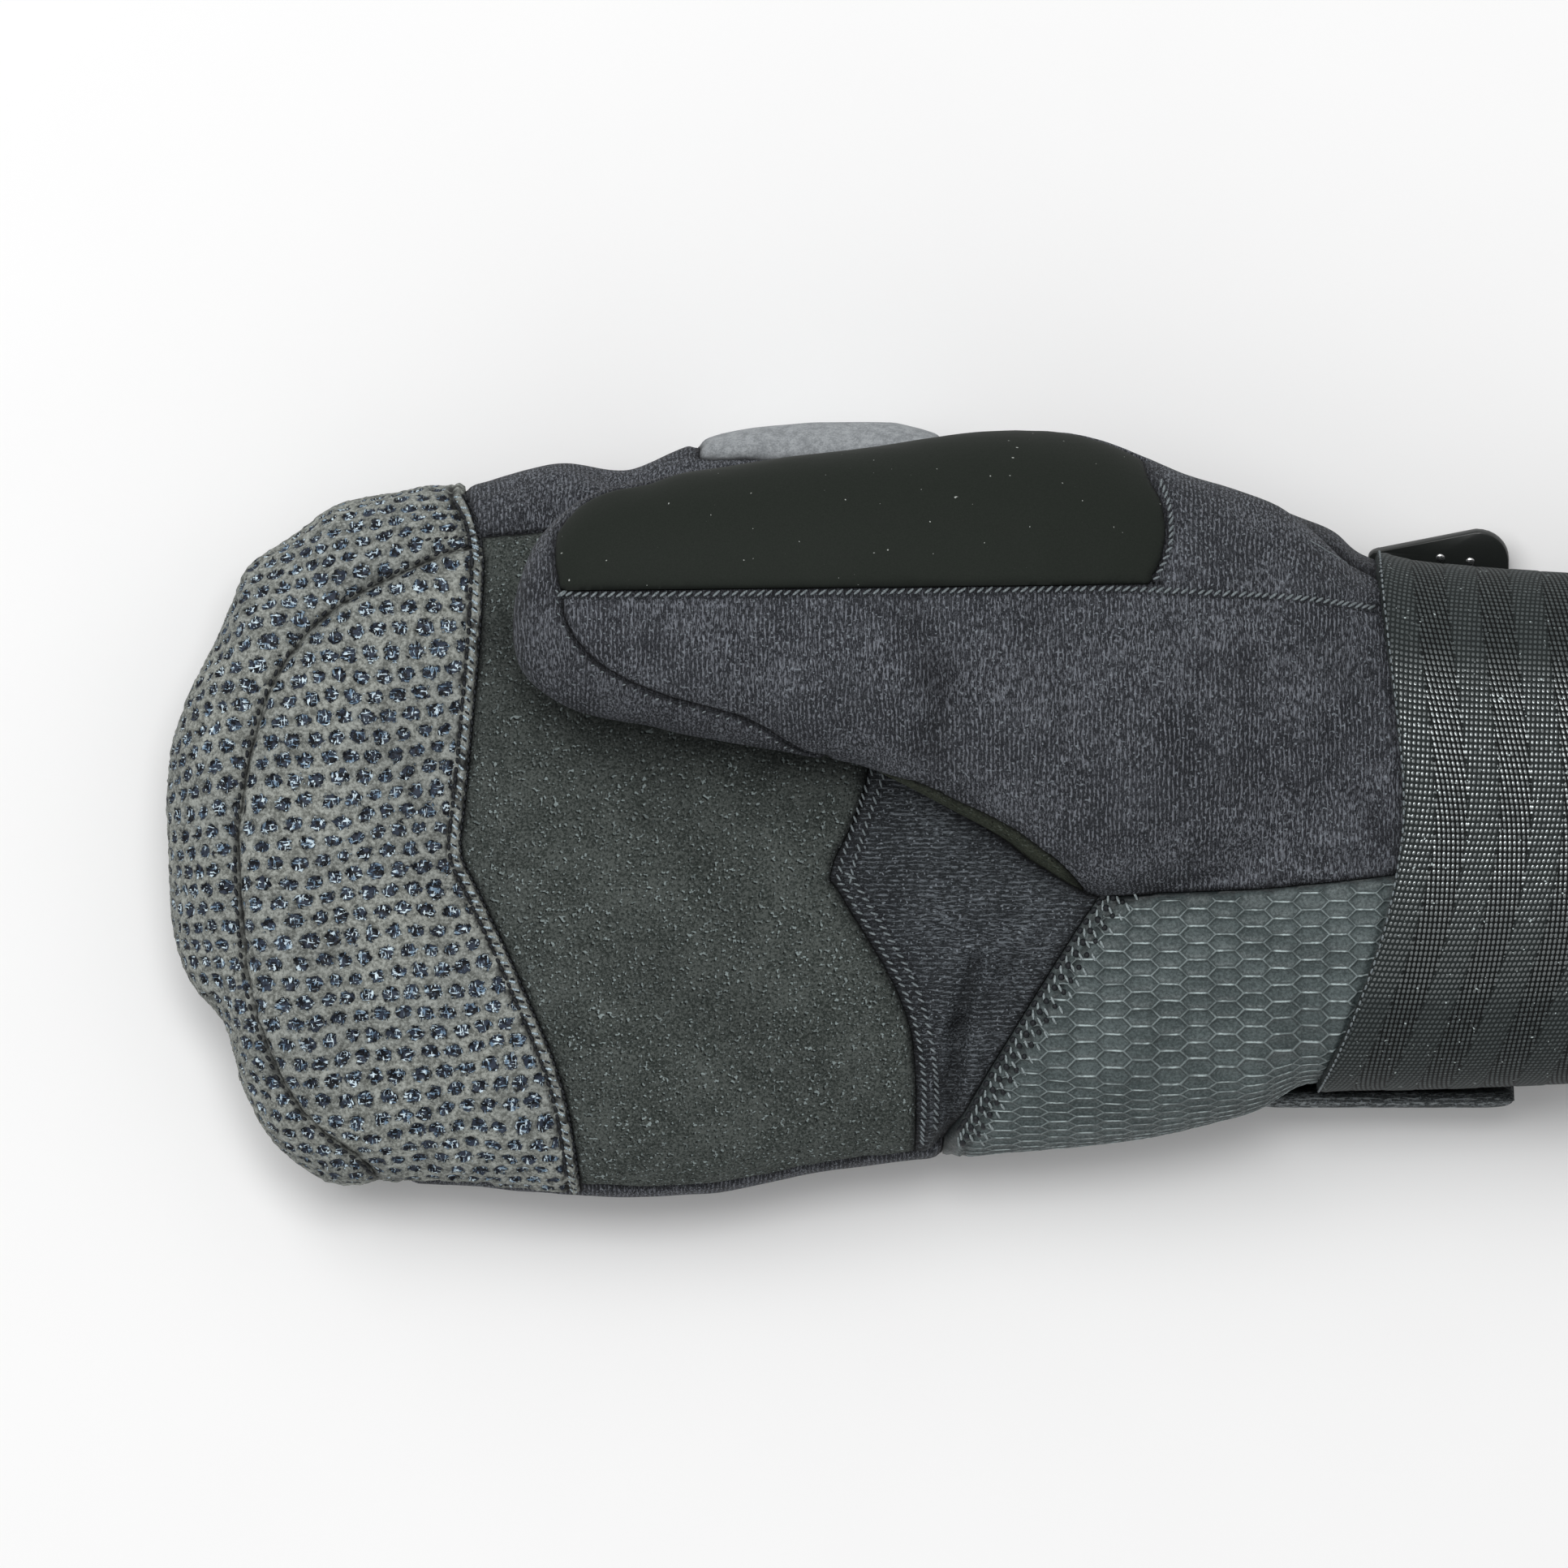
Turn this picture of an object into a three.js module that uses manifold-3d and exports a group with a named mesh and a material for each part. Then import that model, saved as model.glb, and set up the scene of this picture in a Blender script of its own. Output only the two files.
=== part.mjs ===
// Snowboard mitten for the right hand, lying on its back with the palm up.
// Millimetres. +X runs from the fingertips to the cuff, +Y to the thumb side and +Z up out of the palm.
// The hand and the thumb are hollow lofts, cut into their sewn panels along the seams.

import * as THREE from 'three';
import { mergeVertices } from 'three/addons/utils/BufferGeometryUtils.js';
import Module from 'manifold-3d';

const wasm = await Module();
wasm.setup();

// Driving dimensions
const WALL = 3;
const GAP = 0.3;
const MOUTH_X = 142;
const CUFF_START_X = 72;
const SIDE_SEAM_Z = 24;
const PALM_SEAM_Z = 28;
const HEEL_SEAM_Z = 11;
const RIM_SEAM_Z = 20;
const THENAR_SEAM_Z = 29;
const NOSE_WIPE_SEAM_Z = 52;
const THUMB_WRAP_SEAM_Z = 48;
const CREASE = 0.5;
const STRAP_WIDTH = 44.9;
const STRAP_THICKNESS = 2;
const STRAP_END = { x: 42.5, length: 45.5, thickness: 3.2, low: 0.4, high: 22, inner: -33 };
const TAB = {
  x: 62.5, root: 33.3, lift: 0.5, tilt: 26, width: 24, length: 16.5, left: 12.8, corner: 5.5, thickness: 1.8,
};
const RIVET_PLACES = [[12.3, 11.6], [17.4, 10.9]];
const RIVET = { radius: 0.45, head: 0.8, dome: 0.35, foot: 0.4, clearance: 0.05, sides: 8 };

// Fineness of the facets
const HAND_SIDES = 28;
const THUMB_SIDES = 20;

// Far outside the mitten, for the ends of cutting shapes
const FAR = 200;

// Shape of a section: the exponent of its rounded palm and back, and how flat the back lies
const PALM_POWER = 2.6;
const BACK_POWER = 3.2;
const BACK_FLATTENING = 1.06;
const THUMB_POWER = 2.2;

function table(columns, rows) {
  return rows.map((row) => Object.fromEntries(columns.map((name, i) => [name, row[i]])));
}

// Sections of the hand from the fingertips to the mouth of the cuff. ulnar and radial are the two sides,
// palm and back the top and bottom, and side is the height where the section is widest.
const HAND = table(['x', 'ulnar', 'radial', 'palm', 'side', 'back'], [
  [-142, -3, 6, 22, 19.5, 17],
  [-141, -19, 11, 27, 19.5, 12],
  [-139, -27, 16.5, 31, 19.5, 8],
  [-136, -32, 24, 34.5, 20, 5],
  [-132, -36.5, 33.5, 37.5, 20, 2.5],
  [-128.5, -48.3, 41.4, 39.5, 20, 1.2],
  [-123.5, -57, 44.8, 41.5, 20, 0],
  [-118, -61.5, 48.4, 42.5, 20, 0],
  [-112.5, -63.8, 51.8, 43, 20, 0],
  [-101.5, -63.3, 54, 44, 20, 0],
  [-90, -64, 55.2, 44.5, 20, 0],
  [-80.5, -64.9, 57.8, 45, 20, 0],
  [-74, -65.4, 58.9, 45, 20, 0],
  [-66, -65.7, 57.7, 45, 20, 0],
  [-61.5, -65.8, 58.3, 45.2, 20, 0],
  [-53, -65.6, 62.2, 45.5, 20, 0],
  [-46, -64.8, 64.3, 46, 20, 0],
  [-32.5, -62, 65.8, 46.5, 20, 0],
  [-18.5, -59.8, 65.8, 47.5, 20, 0],
  [0, -58, 60.5, 50, 21, 0],
  [23, -55.5, 55, 54, 22, 0],
  [36.5, -52.6, 53, 56, 22.5, 0],
  [44, -50.4, 52.2, 57.3, 23, 0.2],
  [50.5, -46.6, 49.8, 58, 24, 1.4],
  [56.5, -45.8, 47.2, 58, 25, 2.3],
  [62, -45.7, 42.8, 58, 26, 2.3],
  [76, -45.4, 39.8, 57.6, 27, 2.3],
  [113.5, -44, 37.8, 57, 27, 2.3],
  [118.5, -46, 40, 59, 27, 0.6],
  [135, -47.6, 42, 60.8, 27, 0],
  [136, -48.6, 43, 61.8, 27, 0],
  [142, -48.8, 43.2, 62, 27, 0],
]);
const HAND_TIP_ROWS = 7;

// Sections of the thumb from its tip to its root in the wrist
const THUMB = table(['x', 'ulnar', 'radial', 'top', 'under'], [
  [-83, 29, 33, 62.5, 59.5],
  [-82, 24.6, 38.4, 67.5, 54.5],
  [-79.3, 21.1, 45, 72, 50.5],
  [-74, 17.7, 50.6, 75.5, 47.5],
  [-68.3, 16, 54, 77.5, 46],
  [-60, 14.5, 55.8, 79, 45],
  [-53, 12.8, 57.3, 79.7, 44.5],
  [-32.4, 9.1, 60.2, 80, 42.5],
  [-22.8, 7.3, 61.4, 79.6, 39.5],
  [-7.6, -0.3, 63.6, 78, 33],
  [0.7, -5.1, 64.2, 77, 30],
  [7.6, -9.9, 64.3, 76, 28],
  [16.6, -14.4, 62.8, 74, 26],
  [24.2, -14.4, 59.8, 72, 25],
  [32.4, -14, 56.3, 69.2, 25],
  [40, -13.6, 54, 66.2, 26],
  [47, -13, 51.2, 63.2, 27],
  [54, -12.2, 46, 60.2, 28],
  [60, -11.4, 40, 57.2, 29],
  [66, -10.4, 36, 53, 30],
]);
const THUMB_TIP_ROWS = 5;

// Seams, as points that a smooth curve runs through, seen from above
const GRIP_EDGE = [
  [-70.8, -72], [-74.5, -48.6], [-81.4, -30.6], [-88.8, -14.5], [-92, -7.2], [-91.3, 2], [-89, 27.3],
  [-88.2, 42],
];
const TIP_SEAM = [
  [-88.6, 45.6], [-98.7, 42.5], [-115.2, 33.5], [-125, 20.4], [-129.6, 3], [-130.3, -14], [-127.8, -34],
  [-120, -51], [-108.3, -61], [-101.4, -70],
];
const RIM_FRONT_EDGE = [[-91.6, 80], [-91.6, 54], [-88.6, 45], [-101.4, -63], [-101, -80]];
const RIM_BACK_EDGE = [
  [-91.4, 70], [-91.6, 54], [-106, 30], [-111, -4], [-108, -38], [-101.4, -62], [-101, -75],
];
const PALM_SIDE_SEAM = [[-100, 45.8], [-78.5, 47.7], [-50, 50.5], [-20, 51]];
const PALM_EDGE = [
  [-20, 51], [-22.8, 7.3], [-29, -9.9], [-27.4, -14.6], [-18, -31], [-14.8, -45], [-15.2, -75],
];
const PALM_GUSSET_OUTLINE = [[-40, 10], [-40, -80], [20, -80], [30, 0], [20, 10]];
const HEEL_EDGE = [[27, -2], [16.6, -14.4], [3.5, -35], [-9.7, -58], [-16, -75]];
const THENAR_BORDER = [[14, -14.6], [32, -14], [50, -13], [80, -9.5]];
const THENAR_SIDE = [[80, 35], [64.2, 39.5], [52.5, 46], [44, 53], [36, 62], [14, 80]];
const NOSE_WIPE_EDGE = [
  [-46, 66], [-52, 56.4], [-60, 54.4], [-70, 51.6], [-74, 48.8], [-76, 45], [-76, 41], [-74.5, 37.6],
  [-66, 37.3], [20, 38.4], [25.2, 39.6], [27.5, 45], [27.2, 52], [24, 60], [22, 80],
];
const THUMB_GUSSET_SPACE = { low: [-30, -30, 0], high: [15, 20, 56] };
const THUMB_GUSSET_EDGE = [
  [-30, 10.5], [-24, 8.6], [-15.2, 5], [-8.3, 2.2], [-1.4, -1], [3.5, -3.7], [9, -7.9], [12.4, -12],
  [15, -16],
];
const THUMB_TIP_SPACE = { low: [-100, -20, 0], high: [-30, 80, THUMB_WRAP_SEAM_Z] };
const THUMB_TIP_ENDS = [[-100, -20], [-100, 64], [-50, 64]];
const THUMB_TIP_SEAM = [
  [-75.2, 38.2], [-74.4, 32], [-70, 25.5], [-60, 19.8], [-48, 15.8], [-40.7, 13.2], [-33, 8], [-30, -20],
];
const KNUCKLE_BACK = [
  [-52, 80], [-52, 40], [-50, 0], [-44, -34], [-30, -46], [-16, -34], [-10, 0], [-9.5, 40], [-9.5, 80],
];
const KNUCKLE_TOP = { x: -30.7, reach: 21, y: 60.2 };
const STRAP_EDGE = [
  [64.8, 60], [64.2, 42.5], [67.2, 13.5], [68, 2.5], [67.4, -7.2], [64.2, -22.4], [57.6, -40.3], [51.6, -52],
];

// Materials
function cloth(color, roughness, metalness = 0) {
  return new THREE.MeshStandardMaterial({ color, roughness, metalness });
}
const softshell = cloth(0x464850, 0.8);
const gripFabric = cloth(0x676e6e, 0.85);
const palmSuede = cloth(0x444947, 0.95);
const wipeSuede = cloth(0x2a2e2a, 0.75);
const heelLeather = cloth(0x515b5b, 0.6);
const knuckleFabric = cloth(0x8c9093, 0.8);
const webbing = cloth(0x43484a, 0.5);
const plastic = cloth(0x1e2120, 0.35);
const rivetMetal = cloth(0xc8c8c8, 0.3, 1);

// Meshes and solids
function toSolid(geometry) {
  const bare = geometry.clone();
  bare.deleteAttribute('normal');
  bare.deleteAttribute('uv');
  const merged = mergeVertices(bare, 1e-4);
  const mesh = new wasm.Mesh({
    numProp: 3,
    vertProperties: new Float32Array(merged.attributes.position.array),
    triVerts: new Uint32Array(merged.index.array),
  });
  return new wasm.Manifold(mesh);
}

function toGeometry(solid) {
  const mesh = solid.getMesh();
  const geometry = new THREE.BufferGeometry();
  geometry.setAttribute('position', new THREE.BufferAttribute(mesh.vertProperties, 3));
  geometry.setIndex(new THREE.BufferAttribute(mesh.triVerts, 1));
  geometry.computeVertexNormals();
  return geometry;
}

// The largest body of a solid, without the slivers that a cut can leave
function largest(solid) {
  return solid.decompose().reduce((best, body) => (body.volume() > best.volume() ? body : best));
}

// Corners seen from above
function corners(points) {
  return points.map(([x, y]) => new THREE.Vector2(x, y));
}

// A smooth curve through points seen from above
function smooth(points, steps) {
  return new THREE.SplineCurve(corners(points)).getPoints(steps);
}

// An outline moved outwards by a distance, with mitred corners
function grown(outline, distance) {
  const outwards = THREE.ShapeUtils.isClockWise(outline) ? -distance : distance;
  return outline.map((point, i) => {
    const before = outline.at(i - 1);
    const after = outline[(i + 1) % outline.length];
    const [a, b] = [point.clone().sub(before).normalize(), after.clone().sub(point).normalize()];
    const normal = new THREE.Vector2(a.y + b.y, -a.x - b.x).normalize();
    const stretch = Math.max(0.5, Math.abs(normal.dot(new THREE.Vector2(a.y, -a.x))));
    return point.clone().addScaledVector(normal, outwards / stretch);
  });
}

// An upright prism over an outline seen from above
function prism(outline, low, high) {
  const shape = new THREE.Shape(outline);
  const geometry = new THREE.ExtrudeGeometry(shape, { depth: high - low, bevelEnabled: false });
  geometry.translate(0, 0, low);
  return toSolid(geometry);
}

// A box between two corners, grown on all sides
function block(low, high, grow = 0) {
  const [x0, y0, z0] = low.map((value) => value - grow);
  const [x1, y1, z1] = high.map((value) => value + grow);
  return prism(corners([[x0, y0], [x1, y0], [x1, y1], [x0, y1]]), z0, z1);
}

// A closed solid through rings of points, each ring in its own plane across X
function loft(rings) {
  const sides = rings[0].length;
  const positions = rings.flat(2);
  const index = [];
  for (let r = 0; r + 1 < rings.length; r += 1) {
    for (let s = 0; s < sides; s += 1) {
      const a = r * sides + s;
      const b = r * sides + ((s + 1) % sides);
      index.push(a, b, a + sides, b, b + sides, a + sides);
    }
  }
  const ends = [[rings[0], 0], [rings.at(-1), (rings.length - 1) * sides]];
  ends.forEach(([ring, start], end) => {
    const centre = positions.length / 3;
    [0, 1, 2].forEach((axis) => positions.push(ring.reduce((sum, p) => sum + p[axis], 0) / sides));
    for (let s = 0; s < sides; s += 1) {
      const pair = [start + s, start + ((s + 1) % sides)];
      if (end === 0) {
        pair.reverse();
      }
      index.push(centre, ...pair);
    }
  });
  const geometry = new THREE.BufferGeometry();
  geometry.setAttribute('position', new THREE.Float32BufferAttribute(positions, 3));
  geometry.setIndex(index);
  return toSolid(geometry);
}

function bend(value, power) {
  return Math.sign(value) * Math.abs(value) ** (2 / power);
}

// One ring of the hand: rounded over the palm, lying flat on its back
function handRing(row, grow) {
  const middle = (row.radial + row.ulnar) / 2;
  const half = (row.radial - row.ulnar) / 2 + grow;
  const rise = row.palm - row.side + grow;
  const drop = row.side - row.back + grow;
  return Array.from({ length: HAND_SIDES }, (_, i) => {
    const angle = (2 * Math.PI * i) / HAND_SIDES;
    const up = Math.sin(angle);
    const y = middle + half * bend(Math.cos(angle), up > 0 ? PALM_POWER : BACK_POWER);
    const depth = Math.min(1, BACK_FLATTENING * Math.abs(bend(up, BACK_POWER)));
    const z = up > 0 ? row.side + rise * bend(up, PALM_POWER) : row.side - drop * depth;
    return [row.x, y, z];
  });
}

function thumbRing(row, grow) {
  const middle = [(row.radial + row.ulnar) / 2, (row.top + row.under) / 2];
  const half = [(row.radial - row.ulnar) / 2 + grow, (row.top - row.under) / 2 + grow];
  return Array.from({ length: THUMB_SIDES }, (_, i) => {
    const angle = (2 * Math.PI * i) / THUMB_SIDES;
    const y = middle[0] + half[0] * bend(Math.cos(angle), THUMB_POWER);
    const z = middle[1] + half[1] * bend(Math.sin(angle), THUMB_POWER);
    return [row.x, y, z];
  });
}

// The rings of a closed tip, grown or shrunk towards the first full section
function tipRings(rows, ring, grow) {
  const full = ring(rows.at(-1), 0);
  const axes = [0, 1, 2];
  const low = axes.map((axis) => Math.min(...full.map((p) => p[axis])));
  const high = axes.map((axis) => Math.max(...full.map((p) => p[axis])));
  const centre = axes.map((axis) => (low[axis] + high[axis]) / 2);
  const reach = [full[0][0] - rows[0].x, (high[1] - low[1]) / 2, (high[2] - low[2]) / 2];
  const scale = (p) => axes.map((axis) => centre[axis] + (p[axis] - centre[axis]) * (1 + grow / reach[axis]));
  return rows.slice(0, -1).map((row) => ring(row, 0).map(scale));
}

function body(rows, tipRows, ring, grow, endX) {
  const tip = tipRings(rows.slice(0, tipRows), ring, grow);
  const rest = rows.slice(tipRows - 1).map((row) => ring(row, grow));
  const end = rest.at(-1).map(([, y, z]) => [endX, y, z]);
  return loft(endX > rows.at(-1).x ? [...tip, ...rest, end] : [...tip, ...rest]);
}

function hand(grow, endX = MOUTH_X) {
  return body(HAND, HAND_TIP_ROWS, handRing, grow, endX);
}

function thumb(grow) {
  return body(THUMB, THUMB_TIP_ROWS, thumbRing, grow, THUMB.at(-1).x);
}

// The whole wall of the mitten, open at its mouth
const inside = hand(-WALL, MOUTH_X + WALL).add(thumb(-WALL));
let rest = hand(0).add(thumb(0)).subtract(inside);

// Takes a panel out of the wall. zone(grow) is the space of the panel, grown by a seam gap for what is left.
function takePanel(zone) {
  const panel = largest(rest.intersect(zone(0)));
  rest = rest.subtract(zone(GAP));
  return panel;
}

const cuff = takePanel((grow) => block([CUFF_START_X, -FAR, -FAR], [FAR, FAR, FAR], grow));

// The thumb leaves the hand along the crease round its root, and the ball of the thumb reaches the wrist
const thenarOutline = [...smooth(THENAR_BORDER, 6), ...smooth(THENAR_SIDE, 10)];
const thumbPart = takePanel((grow) => (
  thumb(CREASE + grow).add(prism(grown(thenarOutline, grow), THENAR_SEAM_Z - grow, FAR))
));
const handPart = rest;

// The thumb: its smooth top panel, the strip under its edge, the wrap round its tip, and the rest
rest = thumbPart;
const noseWipe = takePanel((grow) => (
  prism(grown(smooth(NOSE_WIPE_EDGE, 30), grow), NOSE_WIPE_SEAM_Z - grow, FAR)
));
const thumbGusset = takePanel((grow) => {
  const { low, high } = THUMB_GUSSET_SPACE;
  const outline = [...smooth(THUMB_GUSSET_EDGE, 10), ...corners([[high[0], low[1]], [low[0], low[1]]])];
  return prism(grown(outline, grow), 0, FAR).add(block(low, high, grow));
});
const thumbWrap = takePanel((grow) => {
  const { low, high } = THUMB_TIP_SPACE;
  const outline = [...smooth(THUMB_TIP_SEAM, 12), ...corners(THUMB_TIP_ENDS)];
  return prism(grown(outline, grow), 0, FAR).add(block(low, high, grow));
});
const thumbShell = largest(rest);

// The hand: grip over the fingertips, palm, gusset, heel and knuckles, and the shell that is left
rest = handPart;
const fingertipGrip = takePanel((grow) => {
  const outline = [...smooth(TIP_SEAM, 20), ...smooth(GRIP_EDGE, 16)];
  return prism(grown(outline, grow), SIDE_SEAM_Z - grow, FAR);
});
const fingertipRim = takePanel((grow) => {
  const ends = corners([[-FAR, -80], [-FAR, 80]]);
  const upper = prism(grown([...corners(RIM_FRONT_EDGE), ...ends], grow), RIM_SEAM_Z - grow, FAR);
  const below = [...smooth(RIM_BACK_EDGE, 12), ...ends];
  return upper.add(prism(grown(below, grow), -FAR, RIM_SEAM_Z + grow));
});
const palmPanel = takePanel((grow) => {
  const outline = [...smooth(PALM_SIDE_SEAM, 6), ...smooth(PALM_EDGE, 16), ...corners([[-100, -80]])];
  return prism(grown(outline, grow), PALM_SEAM_Z - grow, FAR);
});
const heelPatch = takePanel((grow) => {
  const outline = [...smooth(HEEL_EDGE, 8), ...corners([[90, -80], [90, 0]])];
  return prism(grown(outline, grow), HEEL_SEAM_Z - grow, FAR);
});
const palmGusset = takePanel((grow) => (
  prism(grown(corners(PALM_GUSSET_OUTLINE), grow), PALM_SEAM_Z - grow, FAR)
));
const knucklePanel = takePanel((grow) => {
  const { x, reach, y } = KNUCKLE_TOP;
  const over = block([x - reach, y, 0], [x + reach, FAR, FAR], grow);
  return prism(grown(smooth(KNUCKLE_BACK, 16), grow), -FAR, SIDE_SEAM_Z + grow).add(over);
});
const backShell = largest(rest);

// The strap is a band round the wrist between two like edges
function strapBand(inner, outer, grow = 0) {
  const left = smooth(STRAP_EDGE, 16);
  const right = left.map((p) => p.clone().setX(p.x + STRAP_WIDTH)).reverse();
  const width = prism(grown([...left, ...right], grow), -FAR, FAR);
  return hand(outer).subtract(hand(inner, MOUTH_X + WALL)).intersect(width);
}
const wristStrap = largest(strapBand(GAP, GAP + STRAP_THICKNESS));

// The folded end of the strap lies against the band where the wrist turns under
function wristSection(grow, startX, endX) {
  const wrist = HAND.find((row) => row.x > CUFF_START_X);
  const ring = handRing(wrist, grow);
  return loft([startX, endX].map((x) => ring.map(([, y, z]) => [x, y, z])));
}
const endInner = STRAP_THICKNESS + 2 * GAP;
const endX = STRAP_END.x + STRAP_END.length;
const strapEndRing = wristSection(endInner + STRAP_END.thickness, STRAP_END.x, endX)
  .subtract(wristSection(endInner, STRAP_END.x - 1, endX + 1));
const strapEndSpace = block([STRAP_END.x, -FAR, STRAP_END.low], [endX, STRAP_END.inner, STRAP_END.high]);
const strapEndPlate = strapEndRing.intersect(strapEndSpace);
const strapEnd = largest(strapEndPlate.subtract(hand(GAP)).subtract(strapBand(-1, endInner, GAP)));

// The pull tab is a flat moulded plate that stands out from under the thumb side of the strap
function tabOutline() {
  const { width, length, left, corner: round } = TAB;
  const shape = new THREE.Shape();
  shape.moveTo(0, 0);
  shape.lineTo(width, 0);
  shape.lineTo(width, length - round);
  shape.quadraticCurveTo(width, length, width - round, length);
  shape.lineTo(0, left);
  return shape;
}
const tabOptions = { depth: TAB.thickness, bevelEnabled: false, curveSegments: 6 };
let tabSolid = toSolid(new THREE.ExtrudeGeometry(tabOutline(), tabOptions));
RIVET_PLACES.forEach(([x, y]) => {
  const hole = new THREE.CylinderGeometry(RIVET.radius + GAP, RIVET.radius + GAP, TAB.thickness + 2, 12);
  hole.rotateX(Math.PI / 2);
  hole.translate(x, y, TAB.thickness / 2);
  tabSolid = tabSolid.subtract(toSolid(hole));
});

function rivetGeometry() {
  const { radius, head, dome, foot, clearance, sides } = RIVET;
  const top = TAB.thickness + clearance;
  const shank = [[0, -foot], [head, -foot], [head, -clearance], [radius, -clearance], [radius, top]];
  const cap = [
    [head, top], [head * 0.75, top + dome * 0.7], [head * 0.4, top + dome * 0.95], [0, top + dome],
  ];
  const geometry = new THREE.LatheGeometry(corners([...shank, ...cap]), sides);
  geometry.rotateX(Math.PI / 2);
  return geometry;
}

// Assembly
const mitten = new THREE.Group();

function addPiece(parent, name, geometry, material) {
  const mesh = new THREE.Mesh(geometry, material);
  mesh.name = name;
  parent.add(mesh);
  return mesh;
}

const panels = [
  ['fingertip_grip', fingertipGrip, gripFabric],
  ['fingertip_rim', fingertipRim, gripFabric],
  ['palm_panel', palmPanel, palmSuede],
  ['palm_gusset', palmGusset, softshell],
  ['heel_patch', heelPatch, heelLeather],
  ['thumb_shell', thumbShell, softshell],
  ['thumb_wrap', thumbWrap, softshell],
  ['thumb_gusset', thumbGusset, palmSuede],
  ['nose_wipe', noseWipe, wipeSuede],
  ['knuckle_panel', knucklePanel, knuckleFabric],
  ['back_shell', backShell, softshell],
  ['cuff', cuff, softshell],
  ['wrist_strap', wristStrap, webbing],
  ['strap_end', strapEnd, softshell],
];
panels.forEach(([name, solid, material]) => addPiece(mitten, name, toGeometry(solid), material));

const tab = new THREE.Group();
tab.position.set(TAB.x, TAB.root, TAB.lift);
tab.rotation.x = THREE.MathUtils.degToRad(TAB.tilt);
addPiece(tab, 'pull_tab', toGeometry(tabSolid), plastic);
RIVET_PLACES.forEach(([x, y], i) => {
  const rivet = addPiece(tab, `tab_rivet_${i + 1}`, rivetGeometry(), rivetMetal);
  rivet.position.set(x, y, 0);
});
mitten.add(tab);

export default mitten;
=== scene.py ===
import itertools
import math

import bpy
import numpy as np
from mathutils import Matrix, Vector
from mathutils.bvhtree import BVHTree
from mathutils.kdtree import KDTree


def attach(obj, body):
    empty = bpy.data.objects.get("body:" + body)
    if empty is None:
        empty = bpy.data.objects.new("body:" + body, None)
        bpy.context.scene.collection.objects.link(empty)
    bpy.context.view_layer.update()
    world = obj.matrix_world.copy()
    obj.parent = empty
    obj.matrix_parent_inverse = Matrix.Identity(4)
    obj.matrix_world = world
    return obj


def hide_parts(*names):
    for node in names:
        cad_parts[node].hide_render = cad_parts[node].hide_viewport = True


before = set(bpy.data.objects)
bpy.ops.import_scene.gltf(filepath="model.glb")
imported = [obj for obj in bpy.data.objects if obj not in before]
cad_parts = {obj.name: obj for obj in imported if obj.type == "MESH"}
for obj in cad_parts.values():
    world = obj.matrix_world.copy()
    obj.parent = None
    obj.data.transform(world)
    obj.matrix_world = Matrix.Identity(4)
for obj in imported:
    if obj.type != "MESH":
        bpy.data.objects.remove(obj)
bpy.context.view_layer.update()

# Lengths in this script are millimetres, and MM turns them into Blender's metres
MM = 0.001

# Sizes shared with the solid model
MOUTH_X = 142.0
CUFF_START_X = 72.0
SIDE_SEAM_Z = 24.0
PALM_SEAM_Z = 28.0
HEEL_SEAM_Z = 11.0
RIM_SEAM_Z = 20.0
THENAR_SEAM_Z = 29.0
THUMB_WRAP_SEAM_Z = 48.0
STRAP_WIDTH = 44.9
STRAP_CLEARANCE = 0.3
STRAP_THICKNESS = 2.0
PALM_POWER = 2.6
BACK_POWER = 3.2
BACK_FLATTENING = 1.06
THUMB_POWER = 2.2

# Half of the slit between two sewn panels, the depth of a panel's turned-in border, and the cuff's wall
SEAM_SLIT = 0.06
TURN_IN = 2.4
CUFF_WALL = 3.0

# Fineness of the surface
VOXEL = 0.9
FORM_STEP = 1.4
FORM_SIDES = 200

# Sections of the hand, from the fingertips to the mouth of the cuff:
# x, ulnar side, radial side, palm height, height of the widest place, back height
HAND = np.array([
    (-142, -3, 6, 22, 19.5, 17),
    (-141, -19, 11, 27, 19.5, 12),
    (-139, -27, 16.5, 31, 19.5, 8),
    (-136, -32, 24, 34.5, 20, 5),
    (-132, -36.5, 33.5, 37.5, 20, 2.5),
    (-128.5, -48.3, 41.4, 39.5, 20, 1.2),
    (-123.5, -57, 44.8, 41.5, 20, 0),
    (-118, -61.5, 48.4, 42.5, 20, 0),
    (-112.5, -63.8, 51.8, 43, 20, 0),
    (-101.5, -63.3, 54, 44, 20, 0),
    (-90, -64, 55.2, 44.5, 20, 0),
    (-80.5, -64.9, 57.8, 45, 20, 0),
    (-74, -65.4, 58.9, 45, 20, 0),
    (-66, -65.7, 57.7, 45, 20, 0),
    (-61.5, -65.8, 58.3, 45.2, 20, 0),
    (-53, -65.6, 62.2, 45.5, 20, 0),
    (-46, -64.8, 64.3, 46, 20, 0),
    (-32.5, -62, 65.8, 46.5, 20, 0),
    (-18.5, -59.8, 65.8, 47.5, 20, 0),
    (0, -58, 60.5, 50, 21, 0),
    (23, -55.5, 55, 54, 22, 0),
    (36.5, -52.6, 53, 56, 22.5, 0),
    (44, -50.4, 52.2, 57.3, 23, 0.2),
    (50.5, -46.6, 49.8, 58, 24, 1.4),
    (56.5, -45.8, 47.2, 58, 25, 2.3),
    (62, -45.7, 42.8, 58, 26, 2.3),
    (76, -45.4, 39.8, 57.6, 27, 2.3),
    (113.5, -44, 37.8, 57, 27, 2.3),
    (118.5, -46, 40, 59, 27, 0.6),
    (135, -47.6, 42, 60.8, 27, 0),
    (136, -48.6, 43, 61.8, 27, 0),
    (142, -48.8, 43.2, 62, 27, 0),
], float)

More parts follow.
